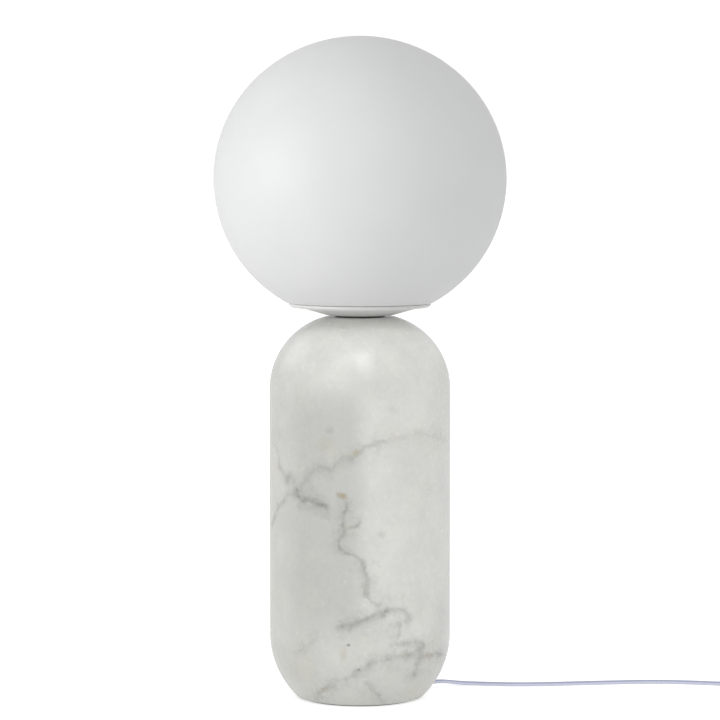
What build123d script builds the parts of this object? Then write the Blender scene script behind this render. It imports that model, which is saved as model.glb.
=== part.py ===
from build123d import *
from math import acos, asin, atan2, cos, degrees, pi, radians, sin, sqrt, tan
import os

# Glass globe table lamp, in millimetres: an opal glass globe in a shallow metal dish on a tall
# stone base. +Z is up, the table top is z = 0 and the lamp's axis is the line x = y = 0.

os.makedirs("parts", exist_ok=True)

# ---------------------------------------------------------------- driving dimensions

# Stone base
STONE_RADIUS = 62.0
STONE_BOTTOM = 1.0  # the pad under the stone lifts its lower face this far off the table
STONE_HEIGHT = 261.3
STONE_FOOT_RADIUS = 43.4  # flat lower face
STONE_FOOT_ROUND = 60.0  # arc from the lower face to the wall
STONE_CROWN_RADIUS = 24.4  # flat upper face
STONE_SHOULDER_ROUND = 51.5  # arc from the wall to the upper face
STONE_EDGE_ROUND = 0.8
STONE_BORE_RADIUS = 5.6
RECESS_RADIUS = 26.0
RECESS_DEPTH = 28.0

# Pad under the base
PAD_RADIUS = 40.0
PAD_THICKNESS = 2.0
PAD_CLEARANCE = 0.3

# Twin flat cord and the way it leaves the base
CORD_WIDTH = 4.8
CORD_THICKNESS = 2.4
CORD_CLEARANCE = 0.1
CORE_RADIUS = 0.9
CORE_SPACING = 2.4
HOLDER_WIRE_BEND = 1.2
SWITCH_WIRE_BEND = 2.0
FLOOR_GAP = 0.05  # under a cord that lies on the table
EXIT_ANGLE = 32.0  # degrees from +X towards +Y
EXIT_HEIGHT = 4.1
EXIT_REACH = 58.5  # from the axis to the end of the strain relief
INNER_BEND = 13.0  # centre-line radius under the rod
CORD_LENGTH = 1800.0

# Threaded rod and what it clamps
ROD_RADIUS = 5.0
ROD_BORE_RADIUS = 3.5
THREAD_CLEARANCE = 0.05
ROD_TAIL = 2.0  # below the lower nut
NUT_FLATS = 17.0
NUT_THICKNESS = 5.0
LOCK_WASHER_RADIUS = 9.0
LOCK_WASHER_THICKNESS = 1.2
LOCK_WASHER_SLIT = 1.0
WASHER_CLEARANCE = 0.2
BASE_WASHER_RADIUS = 18.0
BASE_WASHER_THICKNESS = 2.5
BASE_WASHER_CHAMFER = 0.3
ROD_SHORT_OF_BOSS = 0.6  # the rod ends this far below the top of the lampholder's boss
BUSHING_FLANGE = 1.2
BUSHING_REACH = 8.0
BUSHING_WALL = 0.5
SPACER_RADIUS = 17.0
SPACER_THICKNESS = 1.4

# Dish that carries the glass
DISH_RADIUS = 48.6
DISH_WALL = 1.2
DISH_FLOOR_RADIUS = 23.5
DISH_SEAT_RADIUS = 42.5  # where the sloping wall meets the flat seat
DISH_SEAT_RISE = 5.3  # from the underside of the floor to the underside of the seat
DISH_SEAT_THICKNESS = 1.3
DISH_WALL_OFFSET = 0.3  # inner corners of the sloping wall sit this much further in
DISH_RIM_ROUND = 0.4
RIM_BEVEL_WIDTH = 1.7  # under the rim, so that its edge looks thin
RIM_BEVEL_HEIGHT = 1.2
DISH_SEAT_ROUND = 4.0
DISH_FLOOR_ROUND = 3.0
LIP_WALL = 1.4
LIP_HEIGHT = 1.4  # above the seat

# Opal glass globe
GLOBE_RADIUS = 100.0
GLOBE_HALF_HEIGHT = 0.974 * GLOBE_RADIUS  # slightly flatter than a ball
GLOBE_FLANK_SHARE = 0.6  # how far the flank's arc differs from a ball's
GLASS_WALL = 3.0
GLASS_FOOT_RADIUS = 50.1  # where the globe turns in over the lip
NECK_RADIUS = 46.7
LIP_GAP = 0.3

# Spring clips inside the neck
BRACKET_THICKNESS = 1.0
BRACKET_DISC_RADIUS = 15.0
ARM_WIDTH = 12.0
ARM_KNEE_RADIUS = 22.0
ARM_SHELF_RADIUS = 30.0
ARM_REACH = 35.5
ARM_LIFT = 4.1  # the outer shelf above the disc
ARM_OVERLAP = 3.0  # of each arm on the disc
CLIP_COUNT = 3
CLIP_WIDTH = 8.0
CLIP_THICKNESS = 0.5
CLIP_GAP = 0.3
CLIP_FOOT_RISE = 1.2  # heights and setbacks of the bowed leaf
CLIP_BOW_RISE = 7.5
CLIP_BOW_SETBACK = 1.4
CLIP_TIP_RISE = 12.5
CLIP_TIP_SETBACK = 4.6
RIVET_RADIUS = 1.2
RIVET_HEAD_RADIUS = 2.2
RIVET_HEAD = 0.8
RIVET_ROUND = 0.6
RIVET_PLACE = 32.5  # from the axis

# Lampholder
HOLDER_RADIUS = 19.5
HOLDER_WALL = 1.9
CAP_FOOT_RADIUS = 12.0
CAP_NECK = 6.0
CAP_FLARE = 7.0  # height of the cone at the cap's foot
CAP_WALL = 1.6
CAP_FOOT_ROUND = 4.0
HOLDER_GAP = 0.2  # between the cap and the shell screwed on it
CAP_BOSS_RADIUS = 8.2
CAP_BOSS_HEIGHT = 10.0
CAP_FLOOR = 2.2
INSERT_RADIUS = 15.4
INSERT_THICKNESS = 7.6
INSERT_CLEARANCE = 0.2
INSERT_SETBACK = 0.4  # below the cap's mouth
WIRE_ROOM = 3.0  # between the cap's boss and the insert
CAP_HEIGHT = CAP_BOSS_HEIGHT + WIRE_ROOM + INSERT_THICKNESS + INSERT_SETBACK
SHELL_MOUTH_DEPTH = 7.2
SHELL_HEIGHT = 35.8
SHELL_RIM_ROUND = 0.8
SOCKET_RADIUS = 13.5
SOCKET_WALL = 0.6
SOCKET_HEIGHT = 22.4
CONTACT_THICKNESS = 0.5
CONTACT_WIDTH = 5.0
CONTACT_RISE = 2.4  # from the insert's top to the bulb's tip
CONTACT_HALF_LENGTH = 3.2  # raised end under the bulb's tip
TERMINAL_PLACE = 11.2
TERMINAL_HEAD_RADIUS = 2.8
TERMINAL_HEAD = 2.4
TERMINAL_SHANK = 1.5
TERMINAL_SLOT = 0.7
TERMINAL_SLOT_DEPTH = 1.0

# Bulb
BULB_LENGTH = 106.0
BULB_RADIUS = 30.0
BULB_WALL = 1.2
BULB_SEAM = 44.6  # dome height above the housing
BULB_TIP_RADIUS = 4.8
BULB_TIP = 1.5
BULB_TIP_ROUND = 0.8
BULB_INSULATOR = 3.5
BULB_CAP_RADIUS = 12.7
BULB_CAP_WALL = 0.5
BULB_THREAD_RADIUS = 13.2
BULB_THREAD_PITCH = 3.62
BULB_THREAD_TURNS = 4
BULB_CAP_HEIGHT = 20.0
BULB_CAP_FLOOR = 1.0
BULB_CAP_SHOULDER = 1.2
HOUSING_NECK_RADIUS = 13.8
HOUSING_WALL = 1.5
HOUSING_COLLAR = 6.0
HOUSING_LEDGE = 1.6
HOUSING_LEDGE_REACH = 1.2
LED_BOARD_THICKNESS = 1.5
LED_COUNT = 10
LED_SIZE = 2.8
LED_HEIGHT = 0.8
LED_RING_SHARE = 0.7  # of the board's radius
DRIVER_WIDTH = 18.0
DRIVER_THICKNESS = 1.6
DRIVER_HEIGHT = 26.0
CAPACITOR_RADIUS = 4.0
CAPACITOR_DROP = 10.0
CHOKE_LENGTH = 6.0
CHOKE_WIDTH = 5.0
CHOKE_DROP = 20.0
CHOKE_OFFSET = 4.0
COMPONENT_HEIGHT = 6.0

# Cord clamp in the base
CLAMP_LENGTH = 9.0
CLAMP_WIDTH = 17.0
CLAMP_HALF = 2.9  # height of each half
CLAMP_SCREW_SPACING = 11.6
CLAMP_SCREW_RADIUS = 1.2
CLAMP_HEAD_RADIUS = 2.0
CLAMP_HEAD = 1.4
CLAMP_CORNER = 1.5
CLAMP_LIFT = 0.1  # off the pad
CROSS_LENGTH = 2.2  # cross recesses of the small screws
CROSS_WIDTH = 0.6
CROSS_DEPTH = 0.7
CLAMP_PLACE = 17.0  # from the axis to its middle

# Strain relief in the base
RELIEF_WIDTH = 7.0
RELIEF_HEIGHT = 3.9
RELIEF_CLEARANCE = 0.2
RELIEF_TIP_WIDTH = 5.9
RELIEF_TIP_HEIGHT = 3.4
RELIEF_COLLAR_WIDTH = 10.5
RELIEF_COLLAR_HEIGHT = 6.0
RELIEF_COLLAR = 2.4
RELIEF_COLLAR_GAP = 1.0  # between the collar and the curved wall of the recess

# In-line switch
SWITCH_X = 315.0
SWITCH_Y = 37.0
SWITCH_LENGTH = 60.0
SWITCH_WIDTH = 24.0
SWITCH_HEIGHT = 15.0
SWITCH_SPLIT = 6.0
SWITCH_WALL = 1.8
SWITCH_CORNER = 8.0
SWITCH_FOOT_ROUND = 1.0
SWITCH_CROWN_ROUND = 3.0
ROCKER_LENGTH = 20.0
ROCKER_WIDTH = 10.4
ROCKER_PIVOT = 11.5
ROCKER_TILT = 8.0
ROCKER_GAP = 0.7
ROCKER_END_RISE = 4.2  # of the key's ends and waist above its pivot
ROCKER_WAIST_RISE = 2.9
ROCKER_END_DROP = 0.6
ROCKER_KEEL_DROP = 2.4
ROCKER_KEEL = 6.4
PIVOT_RADIUS = 1.25
PIVOT_CLEARANCE = 0.05
LUG_THICKNESS = 1.8
LUG_WIDTH = 6.0
SWITCH_SCREW_X = 20.0
SWITCH_SCREW_Y = 7.4
SWITCH_SCREW_RADIUS = 1.1
SWITCH_HEAD_RADIUS = 2.2
SWITCH_HEAD = 1.6
SWITCH_BOSS_RADIUS = 2.7
SWITCH_HEAD_SETBACK = 0.4
TERMINAL_BLOCK_X = 13.5
TERMINAL_BLOCK_Y = 4.4
TERMINAL_BLOCK_LENGTH = 7.0
TERMINAL_BLOCK_WIDTH = 4.4
TERMINAL_BLOCK_HEIGHT = 6.4
BLADE_X = 6.5
BLADE_Y = 4.0
BLADE_LENGTH = 9.2
BLADE_WIDTH = 3.0
BLADE_RISE = 3.0
BLADE_THICKNESS = 0.8
CORE_TURN_START = 3.5
CORE_TURN_END = 7.0
CORE_TURN_Y = 3.6

# Coil of the put-away length
COIL_X = 345.0
COIL_Y = 94.0
COIL_RADIUS = 37.2  # centre line of the outer turn
COIL_PITCH = 5.3
COIL_LAYER = 2.9
COIL_TURNS = 4  # in each of two layers

# Two-pin plug
PLUG_X = 344.0  # cord entry
PLUG_Y = 153.0
PLUG_HEIGHT = 13.4
PLUG_WIDTH = 35.0
PLUG_LENGTH = 34.0
PLUG_RELIEF = 16.0
PLUG_RELIEF_WALL = 0.8
PLUG_NECK_WIDTH = 10.5
PLUG_NECK_HEIGHT = 8.0
PLUG_SHOULDER = 17.0  # where the body reaches its full width
PLUG_WAIST = 8.0
PLUG_WAIST_WIDTH = 17.2
PLUG_NECK_OVERLAP = 0.5
PLUG_FLOOR_GAP = 0.3
PIN_SPACING = 18.6
PIN_RADIUS = 2.0
PIN_CORE_RADIUS = 1.35
PIN_LENGTH = 19.0
PIN_SLEEVE_RADIUS = 1.9
PIN_SLEEVE = 10.0
PIN_EMBEDDED = 8.0
PIN_FIT = 0.03
PIN_TIP_ROUND = 1.4

# ---------------------------------------------------------------- heights worked out from them

stone_top = STONE_BOTTOM + STONE_HEIGHT
recess_ceiling = STONE_BOTTOM + RECESS_DEPTH
lower_lock_washer_z = recess_ceiling - BASE_WASHER_THICKNESS - LOCK_WASHER_THICKNESS
lower_nut_z = lower_lock_washer_z - NUT_THICKNESS
rod_bottom = lower_nut_z - ROD_TAIL
dish_z = stone_top + SPACER_THICKNESS
bracket_z = dish_z + DISH_WALL
upper_lock_washer_z = bracket_z + BRACKET_THICKNESS
upper_nut_z = upper_lock_washer_z + LOCK_WASHER_THICKNESS
cap_z = upper_nut_z + NUT_THICKNESS
rod_top = cap_z + CAP_BOSS_HEIGHT - ROD_SHORT_OF_BOSS
insert_z = cap_z + CAP_HEIGHT - INSERT_THICKNESS - INSERT_SETBACK
insert_top = insert_z + INSERT_THICKNESS
shell_z = cap_z + CAP_HEIGHT - CAP_NECK + HOLDER_GAP
bulb_tip_z = insert_top + CONTACT_RISE
seat_z = dish_z + DISH_SEAT_RISE + DISH_SEAT_THICKNESS
lip_top = seat_z + LIP_HEIGHT
glass_foot_z = lip_top + LIP_GAP
flank_round = GLOBE_HALF_HEIGHT - GLOBE_FLANK_SHARE * (GLOBE_RADIUS - GLOBE_HALF_HEIGHT)
crown_round = ((GLOBE_RADIUS - flank_round) ** 2 + GLOBE_HALF_HEIGHT**2 - flank_round**2) / (
    2 * (GLOBE_HALF_HEIGHT - flank_round)
)
crown_drop = crown_round - GLOBE_HALF_HEIGHT
globe_z = glass_foot_z - crown_drop + sqrt(crown_round**2 - GLASS_FOOT_RADIUS**2)
neck_inner_radius = NECK_RADIUS - GLASS_WALL

exit_out = Vector(cos(radians(EXIT_ANGLE)), sin(radians(EXIT_ANGLE)), 0)
exit_side = Vector(-sin(radians(EXIT_ANGLE)), cos(radians(EXIT_ANGLE)), 0)


def circles_of(candidates, radius):
    """Those of the edges that are circles of this radius."""
    return candidates.filter_by(GeomType.CIRCLE).filter_by(lambda edge: abs(edge.radius - radius) < 0.01)


def exit_plane(reach, height=EXIT_HEIGHT):
    """Upright plane across the cord's way out of the base, at a distance from the axis."""
    place = exit_out * reach + Vector(0, 0, height)
    return Plane(origin=place, x_dir=exit_side, z_dir=exit_out)


# ---------------------------------------------------------------- stone base

foot_round_z = STONE_BOTTOM + sqrt(
    STONE_FOOT_ROUND**2 - (STONE_FOOT_RADIUS - STONE_RADIUS + STONE_FOOT_ROUND) ** 2
)
shoulder_z = stone_top - sqrt(
    STONE_SHOULDER_ROUND**2 - (STONE_CROWN_RADIUS - STONE_RADIUS + STONE_SHOULDER_ROUND) ** 2
)
foot_sweep = degrees(asin((foot_round_z - STONE_BOTTOM) / STONE_FOOT_ROUND))
shoulder_sweep = degrees(asin((stone_top - shoulder_z) / STONE_SHOULDER_ROUND))

with BuildPart() as marble_base:
    with BuildSketch(Plane.XZ):
        with BuildLine():
            foot_arc = CenterArc(
                (STONE_RADIUS - STONE_FOOT_ROUND, foot_round_z), STONE_FOOT_ROUND, -foot_sweep, foot_sweep
            )
            shoulder_arc = CenterArc(
                (STONE_RADIUS - STONE_SHOULDER_ROUND, shoulder_z), STONE_SHOULDER_ROUND, 0, shoulder_sweep
            )
            Line(foot_arc @ 1, shoulder_arc @ 0)
            Polyline(shoulder_arc @ 1, (0, stone_top), (0, STONE_BOTTOM), foot_arc @ 0)
        make_face()
    revolve(axis=Axis.Z)
    fillet(edges().filter_by(GeomType.CIRCLE).group_by(Axis.Z)[0], STONE_EDGE_ROUND)
    with BuildSketch(Plane.XY.offset(STONE_BOTTOM)):
        Circle(RECESS_RADIUS)
    extrude(amount=RECESS_DEPTH, mode=Mode.SUBTRACT)
    with BuildSketch(Plane.XY.offset(STONE_BOTTOM)):
        Circle(PAD_RADIUS + PAD_CLEARANCE)
    extrude(amount=PAD_THICKNESS - STONE_BOTTOM, mode=Mode.SUBTRACT)
    with BuildSketch(Plane.XY.offset(STONE_BOTTOM)):
        Circle(STONE_BORE_RADIUS)
    extrude(amount=STONE_HEIGHT, mode=Mode.SUBTRACT)
    with BuildSketch(exit_plane(RECESS_RADIUS - RELIEF_COLLAR)):
        SlotOverall(RELIEF_WIDTH + 2 * RELIEF_CLEARANCE, RELIEF_HEIGHT + 2 * RELIEF_CLEARANCE)
        with Locations((0, -EXIT_HEIGHT / 2)):
            Rectangle(RELIEF_WIDTH + 2 * RELIEF_CLEARANCE, EXIT_HEIGHT)
    extrude(amount=STONE_RADIUS, mode=Mode.SUBTRACT)
marble_base.part.label = "marble_base"
export_step(marble_base.part, "parts/marble_base.step")

with BuildPart() as foot_pad:
    with BuildSketch():
        Circle(PAD_RADIUS)
    extrude(amount=PAD_THICKNESS)
foot_pad.part.label = "foot_pad"
export_step(foot_pad.part, "parts/foot_pad.step")

# ---------------------------------------------------------------- rod and what it clamps

with BuildPart() as threaded_rod:
    with BuildSketch(Plane.XY.offset(rod_bottom)):
        Circle(ROD_RADIUS)
        Circle(ROD_BORE_RADIUS, mode=Mode.SUBTRACT)
    extrude(amount=rod_top - rod_bottom)
threaded_rod.part.label = "threaded_rod"
export_step(threaded_rod.part, "parts/threaded_rod.step")

with BuildPart() as base_washer:
    with BuildSketch(Plane.XY.offset(recess_ceiling - BASE_WASHER_THICKNESS)):
        Circle(BASE_WASHER_RADIUS)
        Circle(ROD_RADIUS + WASHER_CLEARANCE, mode=Mode.SUBTRACT)
    extrude(amount=BASE_WASHER_THICKNESS)
    chamfer(edges().filter_by(GeomType.CIRCLE).group_by(Axis.Z)[0], BASE_WASHER_CHAMFER)
base_washer.part.label = "base_washer"
export_step(base_washer.part, "parts/base_washer.step")

with BuildPart() as lock_washers:
    for washer_z in (lower_lock_washer_z, upper_lock_washer_z):
        with BuildSketch(Plane.XY.offset(washer_z)):
            Circle(LOCK_WASHER_RADIUS)
            Circle(ROD_RADIUS + WASHER_CLEARANCE, mode=Mode.SUBTRACT)
            with Locations((LOCK_WASHER_RADIUS, 0)):
                Rectangle(LOCK_WASHER_RADIUS, LOCK_WASHER_SLIT, mode=Mode.SUBTRACT)
        extrude(amount=LOCK_WASHER_THICKNESS)
lock_washers.part.label = "lock_washers"
export_step(lock_washers.part, "parts/lock_washers.step")

with BuildPart() as rod_nuts:
    for nut_z in (lower_nut_z, upper_nut_z):
        with BuildSketch(Plane.XY.offset(nut_z)):
            RegularPolygon(NUT_FLATS / 2, 6, major_radius=False)
            Circle(ROD_RADIUS + THREAD_CLEARANCE, mode=Mode.SUBTRACT)
        extrude(amount=NUT_THICKNESS)
rod_nuts.part.label = "rod_nuts"
export_step(rod_nuts.part, "parts/rod_nuts.step")

with BuildPart() as rod_bushing:
    sleeve_radius = ROD_BORE_RADIUS - CORD_CLEARANCE
    with BuildSketch(Plane.XY.offset(rod_bottom - BUSHING_FLANGE)):
        Circle(ROD_RADIUS)
        Circle(sleeve_radius - BUSHING_WALL, mode=Mode.SUBTRACT)
    extrude(amount=BUSHING_FLANGE)
    with BuildSketch(Plane.XY.offset(rod_bottom)):
        Circle(sleeve_radius)
        Circle(sleeve_radius - BUSHING_WALL, mode=Mode.SUBTRACT)
    extrude(amount=BUSHING_REACH)
rod_bushing.part.label = "rod_bushing"
export_step(rod_bushing.part, "parts/rod_bushing.step")

with BuildPart() as dish_spacer:
    with BuildSketch(Plane.XY.offset(stone_top)):
        Circle(SPACER_RADIUS)
        Circle(ROD_RADIUS + WASHER_CLEARANCE, mode=Mode.SUBTRACT)
    extrude(amount=SPACER_THICKNESS)
dish_spacer.part.label = "dish_spacer"
export_step(dish_spacer.part, "parts/dish_spacer.step")

# ---------------------------------------------------------------- dish and glass

with BuildPart() as dish:
    with BuildSketch(Plane.XZ):
        with BuildLine():
            seat_under = dish_z + DISH_SEAT_RISE
            Polyline(
                (ROD_RADIUS + WASHER_CLEARANCE, dish_z),
                (DISH_FLOOR_RADIUS, dish_z),
                (DISH_SEAT_RADIUS, seat_under),
                (DISH_RADIUS - RIM_BEVEL_WIDTH, seat_under),
                (DISH_RADIUS, seat_under + RIM_BEVEL_HEIGHT),
                (DISH_RADIUS, lip_top),
                (DISH_RADIUS - LIP_WALL, lip_top),
                (DISH_RADIUS - LIP_WALL, seat_z),
                (DISH_SEAT_RADIUS - DISH_WALL_OFFSET, seat_z),
                (DISH_FLOOR_RADIUS - DISH_WALL_OFFSET, dish_z + DISH_WALL),
                (ROD_RADIUS + WASHER_CLEARANCE, dish_z + DISH_WALL),
                close=True,
            )
        make_face()
    revolve(axis=Axis.Z)
    fillet(circles_of(edges(), DISH_RADIUS), DISH_RIM_ROUND)
    fillet(circles_of(edges(), DISH_SEAT_RADIUS), DISH_SEAT_ROUND)
    fillet(circles_of(edges(), DISH_FLOOR_RADIUS), DISH_FLOOR_ROUND)
dish.part.label = "dish"
export_step(dish.part, "parts/dish.step")


junction_angle = degrees(atan2(crown_drop, GLOBE_RADIUS - flank_round))


def globe_outline(inset, foot_radius):
    """Draw the globe's round side this far inside the glass, and return its foot and its top."""
    crown = crown_round - inset
    foot_angle = degrees(acos(foot_radius / crown))
    belly = CenterArc((0, globe_z + crown_drop), crown, -foot_angle, foot_angle - junction_angle)
    CenterArc((GLOBE_RADIUS - flank_round, globe_z), flank_round - inset, -junction_angle, 2 * junction_angle)
    top = CenterArc((0, globe_z - crown_drop), crown, junction_angle, 90 - junction_angle)
    return belly @ 0, top @ 1


with BuildPart() as glass_globe:
    with BuildSketch(Plane.XZ):
        with BuildLine():
            outer_foot, outer_top = globe_outline(0, GLASS_FOOT_RADIUS)
            inner_foot, inner_top_point = globe_outline(GLASS_WALL, neck_inner_radius)
            Polyline(
                outer_foot,
                (NECK_RADIUS, glass_foot_z),
                (NECK_RADIUS, seat_z),
                (neck_inner_radius, seat_z),
                inner_foot,
            )
            Line(outer_top, inner_top_point)
        make_face()
    revolve(axis=Axis.Z)
glass_globe.part.label = "glass_globe"
export_step(glass_globe.part, "parts/glass_globe.step")

# ---------------------------------------------------------------- spring clips

shelf_z = bracket_z + BRACKET_THICKNESS / 2 + ARM_LIFT
clip_z = shelf_z + BRACKET_THICKNESS / 2 + CLIP_THICKNESS / 2
clip_bow_radius = neck_inner_radius - CLIP_GAP - CLIP_THICKNESS / 2

with BuildPart() as one_arm:
    with BuildSketch(Plane.XZ):
        with BuildLine():
            Polyline(
                (BRACKET_DISC_RADIUS - ARM_OVERLAP, bracket_z + BRACKET_THICKNESS / 2),
                (ARM_KNEE_RADIUS, bracket_z + BRACKET_THICKNESS / 2),
                (ARM_SHELF_RADIUS, shelf_z),
                (ARM_REACH, shelf_z),
            )
        trace(line_width=BRACKET_THICKNESS)
    extrude(amount=ARM_WIDTH / 2, both=True)
    with BuildSketch(Plane.XY.offset(bracket_z)):
        with Locations((RIVET_PLACE, 0)):
            Circle(RIVET_RADIUS + THREAD_CLEARANCE)
    extrude(amount=2 * ARM_LIFT, mode=Mode.SUBTRACT)

with BuildPart() as clip_bracket:
    with BuildSketch(Plane.XY.offset(bracket_z)):
        Circle(BRACKET_DISC_RADIUS)
    extrude(amount=BRACKET_THICKNESS)
    with PolarLocations(0, CLIP_COUNT, start_angle=90):
        add(one_arm.part)
    with BuildSketch(Plane.XY.offset(bracket_z)):
        Circle(ROD_RADIUS + WASHER_CLEARANCE)
    extrude(amount=BRACKET_THICKNESS, mode=Mode.SUBTRACT)
clip_bracket.part.label = "clip_bracket"
export_step(clip_bracket.part, "parts/clip_bracket.step")

with BuildPart() as one_clip:
    with BuildSketch(Plane.XZ):
        with BuildLine():
            FilletPolyline(
                (ARM_SHELF_RADIUS, clip_z),
                (ARM_REACH, clip_z),
                (clip_bow_radius, clip_z + CLIP_FOOT_RISE),
                (clip_bow_radius - CLIP_BOW_SETBACK, clip_z + CLIP_BOW_RISE),
                (clip_bow_radius - CLIP_TIP_SETBACK, clip_z + CLIP_TIP_RISE),
                radius=(3.0, 0.7, 6.0),
            )
        trace(line_width=CLIP_THICKNESS)
    extrude(amount=CLIP_WIDTH / 2, both=True)
    with BuildSketch(Plane.XY.offset(bracket_z)):
        with Locations((RIVET_PLACE, 0)):
            Circle(RIVET_RADIUS + THREAD_CLEARANCE)
    extrude(amount=2 * ARM_LIFT, mode=Mode.SUBTRACT)

with BuildPart() as clip_springs:
    with PolarLocations(0, CLIP_COUNT, start_angle=90):
        add(one_clip.part)
clip_springs.part.label = "clip_springs"
export_step(clip_springs.part, "parts/clip_springs.step")

with BuildPart() as clip_rivets:
    shelf_under = shelf_z - BRACKET_THICKNESS / 2
    clip_top = clip_z + CLIP_THICKNESS / 2
    with BuildSketch(Plane.XY.offset(shelf_under - RIVET_HEAD)):
        with PolarLocations(RIVET_PLACE, CLIP_COUNT, start_angle=90):
            Circle(RIVET_HEAD_RADIUS)
    extrude(amount=RIVET_HEAD)
    with BuildSketch(Plane.XY.offset(shelf_under)):
        with PolarLocations(RIVET_PLACE, CLIP_COUNT, start_angle=90):
            Circle(RIVET_RADIUS)
    extrude(amount=clip_top - shelf_under)
    with BuildSketch(Plane.XY.offset(clip_top)):
        with PolarLocations(RIVET_PLACE, CLIP_COUNT, start_angle=90):
            Circle(RIVET_HEAD_RADIUS)
    extrude(amount=RIVET_HEAD)
    fillet(edges().filter_by(GeomType.CIRCLE).group_by(Axis.Z)[-1], RIVET_ROUND)
clip_rivets.part.label = "clip_rivets"
export_step(clip_rivets.part, "parts/clip_rivets.step")

# ---------------------------------------------------------------- lampholder

cap_top = cap_z + CAP_HEIGHT
cap_inner_radius = INSERT_RADIUS + INSERT_CLEARANCE
neck_outer_radius = HOLDER_RADIUS - HOLDER_WALL

with BuildPart() as holder_cap:
    with BuildSketch(Plane.XZ):
        with BuildLine():
            Polyline(
                (ROD_RADIUS + THREAD_CLEARANCE, cap_z),
                (CAP_FOOT_RADIUS, cap_z),
                (HOLDER_RADIUS, cap_z + CAP_FLARE),
                (HOLDER_RADIUS, cap_top - CAP_NECK),
                (neck_outer_radius, cap_top - CAP_NECK),
                (neck_outer_radius, cap_top),
                (cap_inner_radius, cap_top),
                (cap_inner_radius, insert_z),
                (cap_inner_radius - CAP_WALL, insert_z),
                (cap_inner_radius - CAP_WALL, cap_z + CAP_FLARE),
                (CAP_FOOT_RADIUS - CAP_WALL, cap_z + CAP_FLOOR),
                (CAP_BOSS_RADIUS, cap_z + CAP_FLOOR),
                (CAP_BOSS_RADIUS, cap_z + CAP_BOSS_HEIGHT),
                (ROD_RADIUS + THREAD_CLEARANCE, cap_z + CAP_BOSS_HEIGHT),
                close=True,
            )
        make_face()
    revolve(axis=Axis.Z)
    fillet(circles_of(edges(), HOLDER_RADIUS).group_by(Axis.Z)[0], CAP_FOOT_ROUND)
holder_cap.part.label = "holder_cap"
export_step(holder_cap.part, "parts/holder_cap.step")

with BuildPart() as holder_insert:
    with BuildSketch(Plane.XY.offset(insert_z)):
        Circle(INSERT_RADIUS)
        with Locations((-TERMINAL_PLACE, 0), (TERMINAL_PLACE, 0)):
            Circle(TERMINAL_SHANK + THREAD_CLEARANCE, mode=Mode.SUBTRACT)
    extrude(amount=INSERT_THICKNESS)
holder_insert.part.label = "holder_insert"
export_step(holder_insert.part, "parts/holder_insert.step")

with BuildPart() as centre_contact:
    with BuildSketch(Plane.XZ):
        with BuildLine():
            contact_low = insert_top + CONTACT_THICKNESS / 2
            contact_high = bulb_tip_z - CONTACT_THICKNESS / 2
            contact_lap = TERMINAL_SHANK + HOLDER_GAP
            Polyline(
                (-TERMINAL_PLACE - contact_lap, contact_low),
                (-TERMINAL_PLACE + TERMINAL_HEAD_RADIUS, contact_low),
                (-CONTACT_HALF_LENGTH, contact_high),
                (CONTACT_HALF_LENGTH, contact_high),
            )
        trace(line_width=CONTACT_THICKNESS)
    extrude(amount=CONTACT_WIDTH / 2, both=True)
    with BuildSketch(Plane.XY.offset(insert_top)):
        with Locations((-TERMINAL_PLACE, 0)):
            Circle(TERMINAL_SHANK + THREAD_CLEARANCE)
    extrude(amount=CONTACT_THICKNESS, mode=Mode.SUBTRACT)
centre_contact.part.label = "centre_contact"
export_step(centre_contact.part, "parts/centre_contact.step")

with BuildPart() as socket_shell:
    with BuildSketch(Plane.XY.offset(insert_top)):
        Circle(SOCKET_RADIUS + SOCKET_WALL)
        Circle(SOCKET_RADIUS, mode=Mode.SUBTRACT)
    extrude(amount=SOCKET_HEIGHT)
    with BuildSketch(Plane.XY.offset(insert_top)):
        with Locations((TERMINAL_PLACE, 0)):
            Rectangle(CONTACT_WIDTH, CONTACT_WIDTH)
            Circle(TERMINAL_SHANK + THREAD_CLEARANCE, mode=Mode.SUBTRACT)
    extrude(amount=CONTACT_THICKNESS)
socket_shell.part.label = "socket_shell"
export_step(socket_shell.part, "parts/socket_shell.step")

with BuildPart() as terminal_screws:
    with BuildSketch(Plane.XY.offset(insert_z - TERMINAL_HEAD)):
        with Locations((-TERMINAL_PLACE, 0), (TERMINAL_PLACE, 0)):
            Circle(TERMINAL_HEAD_RADIUS)
            Rectangle(2 * TERMINAL_HEAD_RADIUS, TERMINAL_SLOT, mode=Mode.SUBTRACT)
    extrude(amount=TERMINAL_SLOT_DEPTH)
    with BuildSketch(Plane.XY.offset(insert_z - TERMINAL_HEAD + TERMINAL_SLOT_DEPTH)):
        with Locations((-TERMINAL_PLACE, 0), (TERMINAL_PLACE, 0)):
            Circle(TERMINAL_HEAD_RADIUS)
    extrude(amount=TERMINAL_HEAD - TERMINAL_SLOT_DEPTH)
    with BuildSketch(Plane.XY.offset(insert_z)):
        with Locations((-TERMINAL_PLACE, 0), (TERMINAL_PLACE, 0)):
            Circle(TERMINAL_SHANK)
    extrude(amount=INSERT_THICKNESS + CONTACT_THICKNESS)
terminal_screws.part.label = "terminal_screws"
export_step(terminal_screws.part, "parts/terminal_screws.step")

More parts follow.
